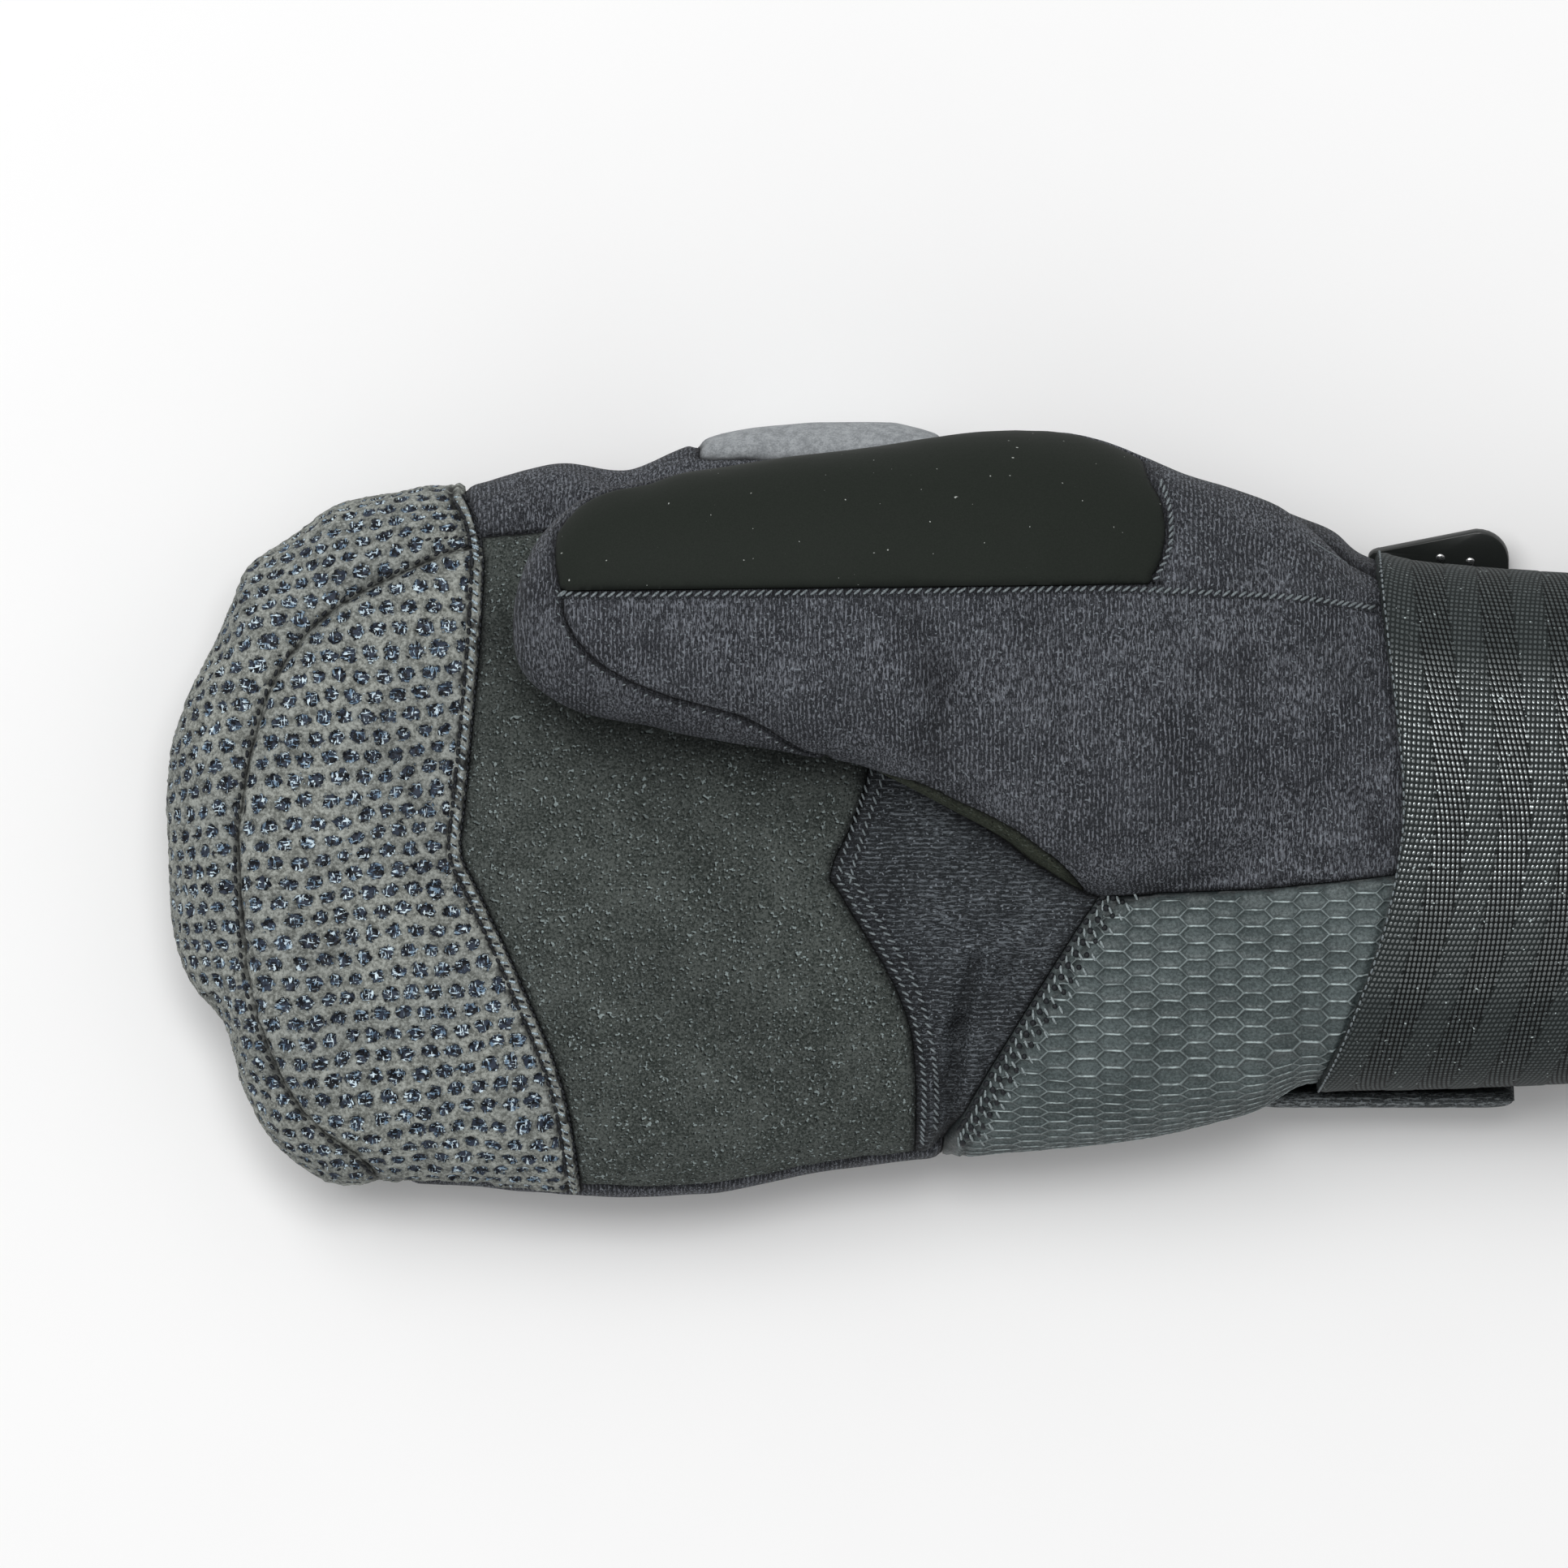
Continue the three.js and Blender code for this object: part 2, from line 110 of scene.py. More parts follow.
# Sections of the thumb: x, ulnar side, radial side, top, underside
THUMB = np.array([
    (-83, 29, 33, 62.5, 59.5),
    (-82, 24.6, 38.4, 67.5, 54.5),
    (-79.3, 21.1, 45, 72, 50.5),
    (-74, 17.7, 50.6, 75.5, 47.5),
    (-68.3, 16, 54, 77.5, 46),
    (-60, 14.5, 55.8, 79, 45),
    (-53, 12.8, 57.3, 79.7, 44.5),
    (-32.4, 9.1, 60.2, 80, 42.5),
    (-22.8, 7.3, 61.4, 79.6, 39.5),
    (-7.6, -0.3, 63.6, 78, 33),
    (0.7, -5.1, 64.2, 77, 30),
    (7.6, -9.9, 64.3, 76, 28),
    (16.6, -14.4, 62.8, 74, 26),
    (24.2, -14.4, 59.8, 72, 25),
    (32.4, -14, 56.3, 69.2, 25),
    (40, -13.6, 54, 66.2, 26),
    (47, -13, 51.2, 63.2, 27),
    (54, -12.2, 46, 60.2, 28),
    (60, -11.4, 40, 57.2, 29),
    (66, -10.4, 36, 53, 30),
], float)

# Seams seen from above, as points that a smooth curve runs through
GRIP_EDGE = [
    (-70.8, -72), (-74.5, -48.6), (-81.4, -30.6), (-88.8, -14.5), (-92, -7.2), (-91.3, 2), (-89, 27.3),
    (-88.2, 42),
]
RIM_TOP_EDGE = [(-88.2, 42), (-88.6, 45.6), (-89.6, 50), (-91.8, 54)]
TIP_SEAM = [
    (-88.6, 45.6), (-98.7, 42.5), (-115.2, 33.5), (-125, 20.4), (-129.6, 3), (-130.3, -14), (-127.8, -34),
    (-120, -51), (-108.3, -61), (-101.4, -70),
]
RIM_FRONT_EDGE = [(-91.6, 80), (-91.6, 54), (-88.6, 45), (-101.4, -63), (-101, -80)]
RIM_BACK_EDGE = [(-91.4, 70), (-91.6, 54), (-106, 30), (-111, -4), (-108, -38), (-101.4, -62), (-101, -75)]
PALM_SIDE_SEAM = [(-100, 45.8), (-78.5, 47.7), (-50, 50.5), (-20, 51)]
PALM_EDGE = [(-20, 51), (-22.8, 7.3), (-29, -9.9), (-27.4, -14.6), (-18, -31), (-14.8, -45), (-15.2, -75)]
PALM_GUSSET_OUTLINE = [(-40, 10), (-40, -80), (20, -80), (30, 0), (20, 10)]
HEEL_EDGE = [(27, -2), (16.6, -14.4), (3.5, -35), (-9.7, -58), (-16, -75)]
THENAR_BORDER = [(14, -14.6), (32, -14), (50, -13), (80, -9.5)]
THENAR_SIDE = [(80, 35), (64.2, 39.5), (52.5, 46), (44, 53), (36, 62), (14, 80)]
NOSE_WIPE_EDGE = [
    (-60, 66), (-70, 58), (-74.6, 51), (-76, 46), (-76.2, 42.5), (-75.8, 40), (-74.5, 37.6),
    (-66, 37.3), (20, 38.4), (25.2, 39.6), (27.5, 45), (27.2, 52), (24, 60), (22, 80),
]
THUMB_TIP_SEAM = [
    (-75.2, 38.2), (-74.4, 32), (-70, 25.5), (-60, 19.8), (-48, 16.4), (-42.4, 14.5), (-38.4, 12.1),
    (-35.5, 10.5), (-32.5, 9.4), (-30, 8.9),
]

# Seams on the sides of the thumb, as x and z: the nose wipe's lower one, the wrap's end on the outer side, the
# lower seam of the ball of the thumb, and the top of the thumb gusset
NOSE_WIPE_UNDER = [
    (40, 52), (-20, 52), (-38, 52), (-44, 52.5), (-48, 54.5), (-51, 58), (-54, 62), (-58, 65), (-63, 66), (-68, 66.2),
    (-72, 66.7), (-75, 68.2), (-78, 70.5),
]
THUMB_WRAP_SIDE = [(-54, 90), (-54, 60), (-50.5, 54.5), (-46, 51), (-39, 48.8), (-30, 48)]
THENAR_UNDER = [
    (80, 38), (64.2, 38), (58, 38), (52.5, 37.3), (47, 34.8), (41, 31.8), (35, 29.6), (29, 28.8), (23, 29.2),
    (18, 30.4), (14, 32.3), (8, 36),
]
THUMB_GUSSET_TOP = [
    (-30, 54.5), (-25, 56), (-22, 58), (-19.5, 61), (-16.5, 63.4), (-12, 64), (-8.3, 63.5), (-1.4, 63), (3.5, 62.5),
    (7.5, 61.4), (10.5, 58.8), (12.8, 54.5), (14.3, 49), (15, 43),
]

# Seams of the knuckle panel and the strap seen from above
KNUCKLE_BACK = [
    (-52, 80), (-52, 40), (-50, 0), (-44, -34), (-30, -46), (-16, -34), (-10, 0), (-9.5, 40), (-9.5, 80),
]
KNUCKLE_TOP = {"x": -30.7, "reach": 21, "y": 60.2}
STRAP_EDGE = [
    (64.8, 60), (64.2, 42.5), (67.2, 13.5), (68, 2.5), (67.4, -7.2), (64.2, -22.4), (57.6, -40.3), (51.6, -52),
]

# Soft folds seen from above: from x, y to x, y, how deep, how wide, and the lowest height they reach
CREASES = [
    (-16.5, 34, -11, 22, 1.2, 3.4, 55),
    (-11, 22, -11, 9, 1.5, 3.2, 55),
    (-21, 25, -18, 12, -0.6, 4.5, 55),
    (-4, 31, -2, 16, -0.5, 4.0, 55),
    (5, 32, 9, 17, 0.5, 3.5, 55),
    (-4.8, -25.7, -7.5, -37, 2.0, 1.5, 30),
    (-7.5, -37, -9.7, -58, 2.4, 1.6, 20),
    (-1.8, -27, -5, -42, -0.8, 1.7, 30),
    (1.4, -25, -3.5, -36.3, 1.2, 1.6, 30),
    (-9, -24, -12, -42, -0.6, 2.6, 30),
    (60, 3, 66, -5, 1.3, 1.7, 45),
    (50, -6.5, 64, -9.5, 1.1, 1.4, 45),
    (55, 12, 64, 9, 0.8, 1.6, 45),
    (58, 24, 64, 22, 0.7, 1.8, 45),
    (34, 22, 58, 27, 0.6, 2.8, 50),
    (30, 8, 48, 2, 0.6, 2.6, 50),
    (38, -3, 52, -7, -0.5, 2.6, 50),
    (-60, -25, -30, -48, 0.7, 6.0, 30),
    (-58, 8, -44, -22, 0.5, 6.0, 30),
    (-104, 18, -96, -20, 0.6, 5.0, 30),
    (-118, -8, -112, -40, 0.6, 4.0, 30),
    (-70, 59, -62, 52, 0.8, 2.8, 10),
    (-80, 54, -74, 49, 0.7, 2.2, 10),
]


# Curves and fields

def with_ends(points):
    """The points, with one more straight on at either end."""
    return np.vstack([2 * points[0] - points[1], points, 2 * points[-1] - points[-2]])


def smooth_run(a, b, c, d, steps):
    """Samples of the smooth curve from b to just before c, where a comes before them and d after them."""
    t = np.linspace(0, 1, steps, endpoint=False)[:, None]
    square = 2 * a - 5 * b + 4 * c - d
    cube = 3 * b - a - 3 * c + d
    return 0.5 * (2 * b + (c - a) * t + square * t**2 + cube * t**3)


def spline(points, steps):
    """A smooth curve through all the points, as many samples between two points as steps says."""
    p = with_ends(np.asarray(points, float))
    runs = [smooth_run(*around, steps) for around in zip(p, p[1:], p[2:], p[3:])]
    return np.vstack(runs + [p[-2:-1]])


def unit(vectors):
    return vectors / np.maximum(np.linalg.norm(vectors, axis=1), 1e-12)[:, None]


def along(line):
    """How far each point of a polyline is from its start."""
    return np.concatenate([[0], np.cumsum(np.linalg.norm(np.diff(line, axis=0), axis=1))])


def point_at(line, places):
    """Points of a polyline at some distances from its start."""
    length = along(line)
    return np.stack([np.interp(places, length, line[:, axis]) for axis in range(line.shape[1])], axis=1)


def shifted(line, offset):
    """A flat polyline moved sideways, to its left."""
    run = unit(np.gradient(line, axis=0))
    return line + offset * np.stack([-run[:, 1], run[:, 0]], axis=1)


def line_distance(points, line):
    """Distance of each point to a polyline, both seen from above."""
    points, line = points[:, :2], line[:, :2]
    best = np.full(len(points), np.inf)
    for a, b in zip(line[:-1], line[1:]):
        run = b - a
        t = np.clip(((points - a) @ run) / max(run @ run, 1e-12), 0, 1)
        best = np.minimum(best, np.linalg.norm(points - a - t[:, None] * run, axis=1))
    return best


def inside(points, ring):
    """Signed distance to a closed outline seen from above, positive inside it."""
    x, y = points[:, 0], points[:, 1]
    closed = np.vstack([ring, ring[:1]])
    distance = line_distance(points, closed)
    within = np.zeros(len(points), bool)
    for (x0, y0), (x1, y1) in zip(closed[:-1], closed[1:]):
        if y0 != y1:
            crosses = (y0 > y) != (y1 > y)
            within ^= crosses & (x < (x1 - x0) * (y - y0) / (y1 - y0) + x0)
    return np.where(within, distance, -distance)


def lumps(points, size, seed=0):
    """Smooth noise between -1 and 1, with lumps of about the given size."""
    scaled = np.asarray(points, float) / size
    base = np.floor(scaled).astype(np.int64)
    part = scaled - base
    blend = part * part * (3 - 2 * part)
    primes = np.array([73856093, 19349663, 83492791])[:scaled.shape[1]]
    total = np.zeros(len(scaled))
    for corner in itertools.product((0, 1), repeat=scaled.shape[1]):
        mix = ((base + corner) * primes).sum(axis=1) + seed * 7919
        mix = ((mix ^ (mix >> 13)) * 1274126177) & 0x7FFFFFFF
        mix = ((mix ^ (mix >> 15)) * 40503) & 0x7FFFFFFF
        value = ((mix >> 8) & 0xFFFF) / 32767.5 - 1
        total += value * np.prod(np.where(corner, blend, 1 - blend), axis=1)
    return total


def bell(distance, width):
    return np.exp(-(distance / width) ** 2)


def fade(value, low, high):
    """0 at low and beyond it, 1 at high and beyond it, smooth between them. low may be the larger."""
    t = np.clip((value - low) / (high - low), 0, 1)
    return t * t * (3 - 2 * t)


def rows_along(table, step):
    """The table's rows, interpolated smoothly along the outline at about the given step."""
    spread = np.linalg.norm(np.diff(table[:, :3], axis=0), axis=1)
    padded = with_ends(table)
    rows = []
    for i, length in enumerate(spread):
        a, b, c, d = padded[i:i + 4]
        run = smooth_run(a, b, c, d, max(2, int(math.ceil(length / step))))
        rows.append(np.clip(run, np.minimum(b, c), np.maximum(b, c)))
    return np.vstack(rows + [table[-1:]])


def row_at(table, x):
    """The table's columns after the first one, at some x."""
    return [np.interp(x, table[:, 0], column) for column in table.T[1:]]


def bend(value, power):
    return np.sign(value) * np.abs(value) ** (2 / power)


def hand_ring(row, angle, grow=0.0):
    """Points of the hand's section at some angles."""
    x, ulnar, radial, palm, side, back = row
    up = np.sin(angle)
    half = (radial - ulnar) / 2 + grow
    power = np.where(up > 0, PALM_POWER, BACK_POWER)
    y = (radial + ulnar) / 2 + half * bend(np.cos(angle), power)
    drop = (side - back + grow) * np.minimum(1, BACK_FLATTENING * np.abs(bend(up, BACK_POWER)))
    z = np.where(up > 0, side + (palm - side + grow) * bend(np.abs(up), PALM_POWER), side - drop)
    return np.stack([x + 0 * y, y, z], axis=-1)


def thumb_ring(row, angle):
    """Points of the thumb's section at some angles."""
    x, ulnar, radial, top, under = row
    y = (radial + ulnar) / 2 + (radial - ulnar) / 2 * bend(np.cos(angle), THUMB_POWER)
    z = (top + under) / 2 + (top - under) / 2 * bend(np.sin(angle), THUMB_POWER)
    return np.stack([x + 0 * y, y, z], axis=-1)


def thumb_depth(points, grow):
    """Roughly how deep each point lies inside the thumb, grown by a distance."""
    ulnar, radial, top, under = row_at(rows_along(THUMB, 1.0), points[:, 0])
    half_y, half_z = (radial - ulnar) / 2 + grow, (top - under) / 2 + grow
    a = np.abs(points[:, 1] - (radial + ulnar) / 2) / half_y
    b = np.abs(points[:, 2] - (top + under) / 2) / half_z
    size = (a**THUMB_POWER + b**THUMB_POWER) ** (1 / THUMB_POWER)
    ends = np.minimum(points[:, 0] - (THUMB[0, 0] - grow), THUMB[-1, 0] - points[:, 0])
    return np.minimum((1 - size) * np.minimum(half_y, half_z), ends)


# Meshes

class Surface:
    """A triangle mesh with a normal for each point, in millimetres."""

    def __init__(self, points, faces, normals=None):
        self.points = points
        self.faces = faces
        self.normals = self.mean_normals() if normals is None else normals

    def mean_normals(self):
        a, b, c = (self.points[self.faces[:, i]] for i in range(3))
        area = np.cross(b - a, c - a)
        normals = np.zeros_like(self.points)
        for i in range(3):
            for axis in range(3):
                normals[:, axis] += np.bincount(self.faces[:, i], area[:, axis], len(self.points))
        return unit(normals)

    def half_edges(self):
        return np.vstack([self.faces[:, [0, 1]], self.faces[:, [1, 2]], self.faces[:, [2, 0]]])

    def edges(self):
        """The edges, which of them each half edge is, and how many faces each has."""
        runs = np.sort(self.half_edges(), axis=1)
        size = len(self.points) + 1
        keys, inverse, counts = np.unique(runs[:, 0] * size + runs[:, 1], return_inverse=True, return_counts=True)
        return np.stack([keys // size, keys % size], axis=1), inverse.ravel(), counts

    def rim_edges(self):
        """The border's edges, each in the direction in which its face runs."""
        _, inverse, counts = self.edges()
        return self.half_edges()[counts[inverse] == 1]

    def rim_places(self):
        rim = self.rim_edges()
        return np.vstack([self.points[rim[:, 0]], self.points[rim].mean(axis=1)])

    def keep(self, chosen):
        """The surface with only the chosen faces."""
        faces = self.faces[chosen]
        used = np.unique(faces)
        renumber = np.full(len(self.points), -1)
        renumber[used] = np.arange(len(used))
        return Surface(self.points[used], renumber[faces], self.normals[used])

    def clip(self, field):
        """The part where the field, one number for each point, is positive."""
        values = np.where(np.abs(field) < 0.03, 0.0, field)
        sign = np.sign(values)[self.faces]
        whole = np.all(sign >= 0, axis=1) & np.any(sign > 0, axis=1)
        cut = np.any(sign > 0, axis=1) & np.any(sign < 0, axis=1)
        crossing = {}
        new_points, new_normals, new_faces = [], [], []

        def cross(i, j):
            key = (i, j) if i < j else (j, i)
            if key not in crossing:
                crossing[key] = len(self.points) + len(new_points)
                t = values[i] / (values[i] - values[j])
                new_points.append(self.points[i] + t * (self.points[j] - self.points[i]))
                new_normals.append(self.normals[i] + t * (self.normals[j] - self.normals[i]))
            return crossing[key]

        for face in self.faces[cut]:
            ring = []
            for i, j in zip(face, np.roll(face, -1)):
                if values[i] >= 0:
                    ring.append(i)
                if values[i] * values[j] < 0:
                    ring.append(cross(i, j))
            new_faces += [(ring[0], ring[k], ring[k + 1]) for k in range(1, len(ring) - 1)]
        points = np.vstack([self.points, np.array(new_points).reshape(-1, 3)])
        normals = np.vstack([self.normals, np.array(new_normals).reshape(-1, 3)])
        faces = np.vstack([self.faces[whole], np.array(new_faces, int).reshape(-1, 3)])
        return Surface(points, faces, normals).keep(slice(None))

    def refined(self):
        """Every triangle in four, with the new points on a rounded surface."""
        ends, inverse, _ = self.edges()
        a, b = ends[:, 0], ends[:, 1]
        middle = (self.points[a] + self.points[b]) / 2
        lift = np.zeros_like(middle)
        for end in (a, b):
            off = np.sum((self.points[end] - middle) * self.normals[end], axis=1)
            lift += 0.25 * off[:, None] * self.normals[end]
        normal = unit(self.normals[a] + self.normals[b])
        total = len(self.faces)
        ab, bc, ca = ((inverse + len(self.points))[i * total:(i + 1) * total] for i in range(3))
        f = self.faces
        faces = np.vstack([
            np.stack([f[:, 0], ab, ca], 1), np.stack([ab, f[:, 1], bc], 1),
            np.stack([ca, bc, f[:, 2]], 1), np.stack([ab, bc, ca], 1),
        ])
        return Surface(np.vstack([self.points, middle + lift]), faces, np.vstack([self.normals, normal]))

    def raised(self, height):
        return Surface(self.points + self.normals * height[:, None], self.faces, self.normals)

    def tree(self):
        return BVHTree.FromPolygons(self.points.tolist(), self.faces.tolist())


def nearest(points, places):
    """Distance from each point to the nearest of the places."""
    tree = KDTree(len(places))
    for i, place in enumerate(places.tolist()):
        tree.insert(place, i)
    tree.balance()
    return np.array([tree.find(point)[2] for point in points.tolist()])


def grid_faces(rows, columns, closed):
    """Triangles over a grid of points. closed joins the last column to the first."""
    index = np.arange(rows * columns).reshape(rows, columns)
    if closed:
        index = np.hstack([index, index[:, :1]])
    a, b, c, d = index[:-1, :-1], index[:-1, 1:], index[1:, :-1], index[1:, 1:]
    return np.vstack([
        np.stack([a.ravel(), b.ravel(), c.ravel()], 1), np.stack([b.ravel(), d.ravel(), c.ravel()], 1),
    ])


def closed_loft(rings):
    """A closed mesh through rings of points, its ends capped at their middles."""
    count, sides = rings.shape[:2]
    first, last = count * sides, count * sides + 1
    ring = np.arange(sides)
    end = (count - 1) * sides
    faces = np.vstack([
        grid_faces(count, sides, True),
        np.stack([np.full(sides, first), np.roll(ring, -1), ring], 1),
        np.stack([np.full(sides, last), end + ring, end + np.roll(ring, -1)], 1),
    ])
    return np.vstack([rings.reshape(-1, 3), rings[0].mean(axis=0), rings[-1].mean(axis=0)]), faces


def to_object(name, points, faces, material=None):
    mesh = bpy.data.meshes.new(name)
    mesh.vertices.add(len(points))
    mesh.vertices.foreach_set("co", (np.asarray(points) * MM).astype(np.float32).ravel())
    faces = np.asarray(faces, np.int32)
    mesh.loops.add(faces.size)
    mesh.loops.foreach_set("vertex_index", faces.ravel())
    mesh.polygons.add(len(faces))
    mesh.polygons.foreach_set("loop_start", np.arange(0, faces.size, faces.shape[1], dtype=np.int32))
    mesh.update(calc_edges=True)
    mesh.shade_smooth()
    obj = bpy.data.objects.new(name, mesh)
    bpy.context.scene.collection.objects.link(obj)
    if material is not None:
        mesh.materials.append(material)
    return obj


def from_object(obj):
    """The evaluated mesh of an object as a Surface."""
    evaluated = obj.evaluated_get(bpy.context.evaluated_depsgraph_get())
    mesh = evaluated.to_mesh()
    mesh.calc_loop_triangles()
    points = np.empty(len(mesh.vertices) * 3)
    mesh.vertices.foreach_get("co", points)
    faces = np.empty(len(mesh.loop_triangles) * 3, np.int32)
    mesh.loop_triangles.foreach_get("vertices", faces)
    evaluated.to_mesh_clear()
    return Surface(points.reshape(-1, 3) / MM, faces.reshape(-1, 3).astype(int))


def set_field(obj, name, values, rest=0.0):
    """Stores one number or one vector for each point, for the materials to read. Points past the values get rest."""
    missing = len(obj.data.vertices) - len(values)
    values = np.concatenate([values, np.full((missing, *values.shape[1:]), rest)])
    kind, key = ("FLOAT", "value") if values.ndim == 1 else ("FLOAT_VECTOR", "vector")
    attribute = obj.data.attributes.new(name, kind, "POINT")
    attribute.data.foreach_set(key, values.astype(np.float32).ravel())


def neighbour_means(surface):
    """A function that gives, for values at the points, the mean over each point's neighbours."""
    pairs, _, _ = surface.edges()
    a = np.concatenate([pairs[:, 0], pairs[:, 1]])
    b = np.concatenate([pairs[:, 1], pairs[:, 0]])
    total = len(surface.points)
    count = np.maximum(np.bincount(a, minlength=total), 1)
    return lambda values: np.stack([np.bincount(a, column[b], total) / count for column in values.T], axis=1)


def smoothed(surface, rounds, weight=1.0, pull=0.5, push=-0.52):
    """Evens out a mesh without shrinking it. weight says how much each point takes part."""
    mean = neighbour_means(surface)
    points = surface.points
    amount = np.broadcast_to(np.asarray(weight, float), (len(points),))[:, None]
    for step in range(rounds * 2):
        points = points + (pull if step % 2 == 0 else push) * amount * (mean(points) - points)
    return Surface(points, surface.faces)


def remeshed(surface, size):
    """The closed mesh again, with even faces of a size."""
    obj = to_object("remesh", surface.points, surface.faces)
    modifier = obj.modifiers.new("skin", "REMESH")
    modifier.mode = "VOXEL"
    modifier.voxel_size = size * MM
    result = from_object(obj)
    bpy.data.objects.remove(obj)
    return result


# The form of the whole mitten, as one skin

FORM_ROUNDS, ROOT_ROUNDS = 7, 50

# Where the ball of the thumb melts into the hand: axis, where that starts, and where it is full
ROOT_BLEND = [(0, 18, 38), (0, 74, 66), (2, 24, 30)]


def build_form():
    angles = np.linspace(0, 2 * math.pi, FORM_SIDES, endpoint=False)
    hand_rows = rows_along(HAND, FORM_STEP)
    past_mouth = hand_rows[-1] + np.array([4, 0, 0, 0, 0, 0])
    hand = closed_loft(np.stack([hand_ring(row, angles) for row in np.vstack([hand_rows, past_mouth])]))
    thumb = closed_loft(np.stack([thumb_ring(row, angles) for row in rows_along(THUMB, FORM_STEP)]))
    both = Surface(np.vstack([hand[0], thumb[0]]), np.vstack([hand[1], thumb[1] + len(hand[0])]))
    form = smoothed(remeshed(both, VOXEL), FORM_ROUNDS)
    by_thumb_root = 1.0
    for axis, start, full in ROOT_BLEND:
        by_thumb_root = by_thumb_root * np.clip((form.points[:, axis] - start) / (full - start), 0, 1)
    form = smoothed(form, ROOT_ROUNDS, by_thumb_root)
    form.points[:, 2] = np.maximum(form.points[:, 2], 0.0)
    return form


# The zones of the panels, in the order in which they are cut out of the skin. Each gives a number for each point,
# positive on the panel.

# How far outside the thumb's sections its seam to the hand lies, the side of the thumb on which its gusset lies, and
# how much lower the fingertip fabric's upper part reaches than its lower part starts
THUMB_GROW = 0.9
THUMB_GUSSET_SIDE = 20
RIM_OVERLAP = 0.5

# The wrap's part under the thumb: the x where it ends, how high it rises towards the hand, the y up to which it does
# so, and the y past which THUMB_WRAP_SIDE is its end
THUMB_WRAP = {"end": -30, "top": 61, "inner": 30, "outer": 42}


def outline(*curves):
    return np.vstack([spline(curve, 8) for curve in curves])


def area(curve, *corners):
    """A closed outline: a smooth curve, and far corners that close it."""
    return np.vstack([outline(curve), corners])


def from_side(p):
    return p[:, [0, 2]]


def cuff_zone(p):
    return p[:, 0] - CUFF_START_X


def thumb_zone(p):
    above = inside(from_side(p), area(THENAR_UNDER, (8, 100), (80, 100)))
    ball = np.minimum(inside(p, outline(THENAR_BORDER, THENAR_SIDE)), above)
    return np.maximum(thumb_depth(p, THUMB_GROW), ball)


def nose_wipe_zone(p):
    above = inside(from_side(p), area(NOSE_WIPE_UNDER, (-80, 72), (-80, 100), (40, 100)))
    return np.minimum(inside(p, outline(NOSE_WIPE_EDGE)), above)


def thumb_gusset_zone(p):
    side = inside(from_side(p), area(THUMB_GUSSET_TOP, (15, 0), (-30, 0)))
    return np.minimum(side, THUMB_GUSSET_SIDE - p[:, 1])


def thumb_wrap_zone(p):
    tip = inside(p, area(THUMB_TIP_SEAM, (-30, -20), (-100, -20), (-100, 64), (-50, 64)))
    side = inside(from_side(p), area(THUMB_WRAP_SIDE, (-30, 0), (-100, 0), (-100, 90)))
    x, y, z = p.T
    rising = np.minimum(THUMB_WRAP["top"] - z, THUMB_WRAP["inner"] - y)
    under = np.minimum(THUMB_WRAP["end"] - x, np.maximum(THUMB_WRAP_SEAM_Z - z, rising))
    return np.max([tip, under, np.minimum(side, y - THUMB_WRAP["outer"])], axis=0)


def grip_zone(p):
    return np.minimum(inside(p, outline(TIP_SEAM, GRIP_EDGE)), p[:, 2] - SIDE_SEAM_Z)


def rim_zone(p):
    ends = [(-200, -80), (-200, 80)]
    upper = np.minimum(inside(p, np.array(RIM_FRONT_EDGE + ends, float)), p[:, 2] - RIM_SEAM_Z)
    lower = np.minimum(inside(p, area(RIM_BACK_EDGE, *ends)), RIM_SEAM_Z + RIM_OVERLAP - p[:, 2])
    return np.maximum(upper, lower)


def palm_zone(p):
    edge = np.vstack([outline(PALM_SIDE_SEAM, PALM_EDGE), [(-100, -80)]])
    return np.minimum(inside(p, edge), p[:, 2] - PALM_SEAM_Z)


def heel_zone(p):
    return np.minimum(inside(p, area(HEEL_EDGE, (90, -80), (90, 0))), p[:, 2] - HEEL_SEAM_Z)


def palm_gusset_zone(p):
    return np.minimum(inside(p, np.array(PALM_GUSSET_OUTLINE, float)), p[:, 2] - PALM_SEAM_Z)


def knuckle_zone(p):
    x, y, z = p.T
    top = np.min([KNUCKLE_TOP["reach"] - np.abs(x - KNUCKLE_TOP["x"]), y - KNUCKLE_TOP["y"], z], axis=0)
    return np.maximum(top, np.minimum(inside(p, outline(KNUCKLE_BACK)), SIDE_SEAM_Z - z))


def largest_part(surface):
    """Drops the small islands that a cut leaves."""
    label = np.arange(len(surface.points))
    pairs, _, _ = surface.edges()
    while True:
        low = np.minimum(label[pairs[:, 0]], label[pairs[:, 1]])
        fresh = label.copy()
        np.minimum.at(fresh, pairs[:, 0], low)
        np.minimum.at(fresh, pairs[:, 1], low)
        fresh = fresh[fresh]
        if np.array_equal(fresh, label):
            break
        label = fresh
    of_face = label[surface.faces[:, 0]]
    names, sizes = np.unique(of_face, return_counts=True)
    return surface.keep(of_face == names[np.argmax(sizes)])


THUMB_PANELS = [
    ("nose_wipe", nose_wipe_zone), ("thumb_gusset", thumb_gusset_zone), ("thumb_wrap", thumb_wrap_zone),
]
HAND_PANELS = [
    ("fingertip_grip", grip_zone), ("fingertip_rim", rim_zone), ("palm_panel", palm_zone),
    ("heel_patch", heel_zone), ("palm_gusset", palm_gusset_zone), ("knuckle_panel", knuckle_zone),
]


def take(skin, zone):
    """Cuts a panel out of the skin, and returns it and what is left."""
    field = zone(skin.points)
    return largest_part(skin.clip(field - SEAM_SLIT)), skin.clip(-field - SEAM_SLIT)


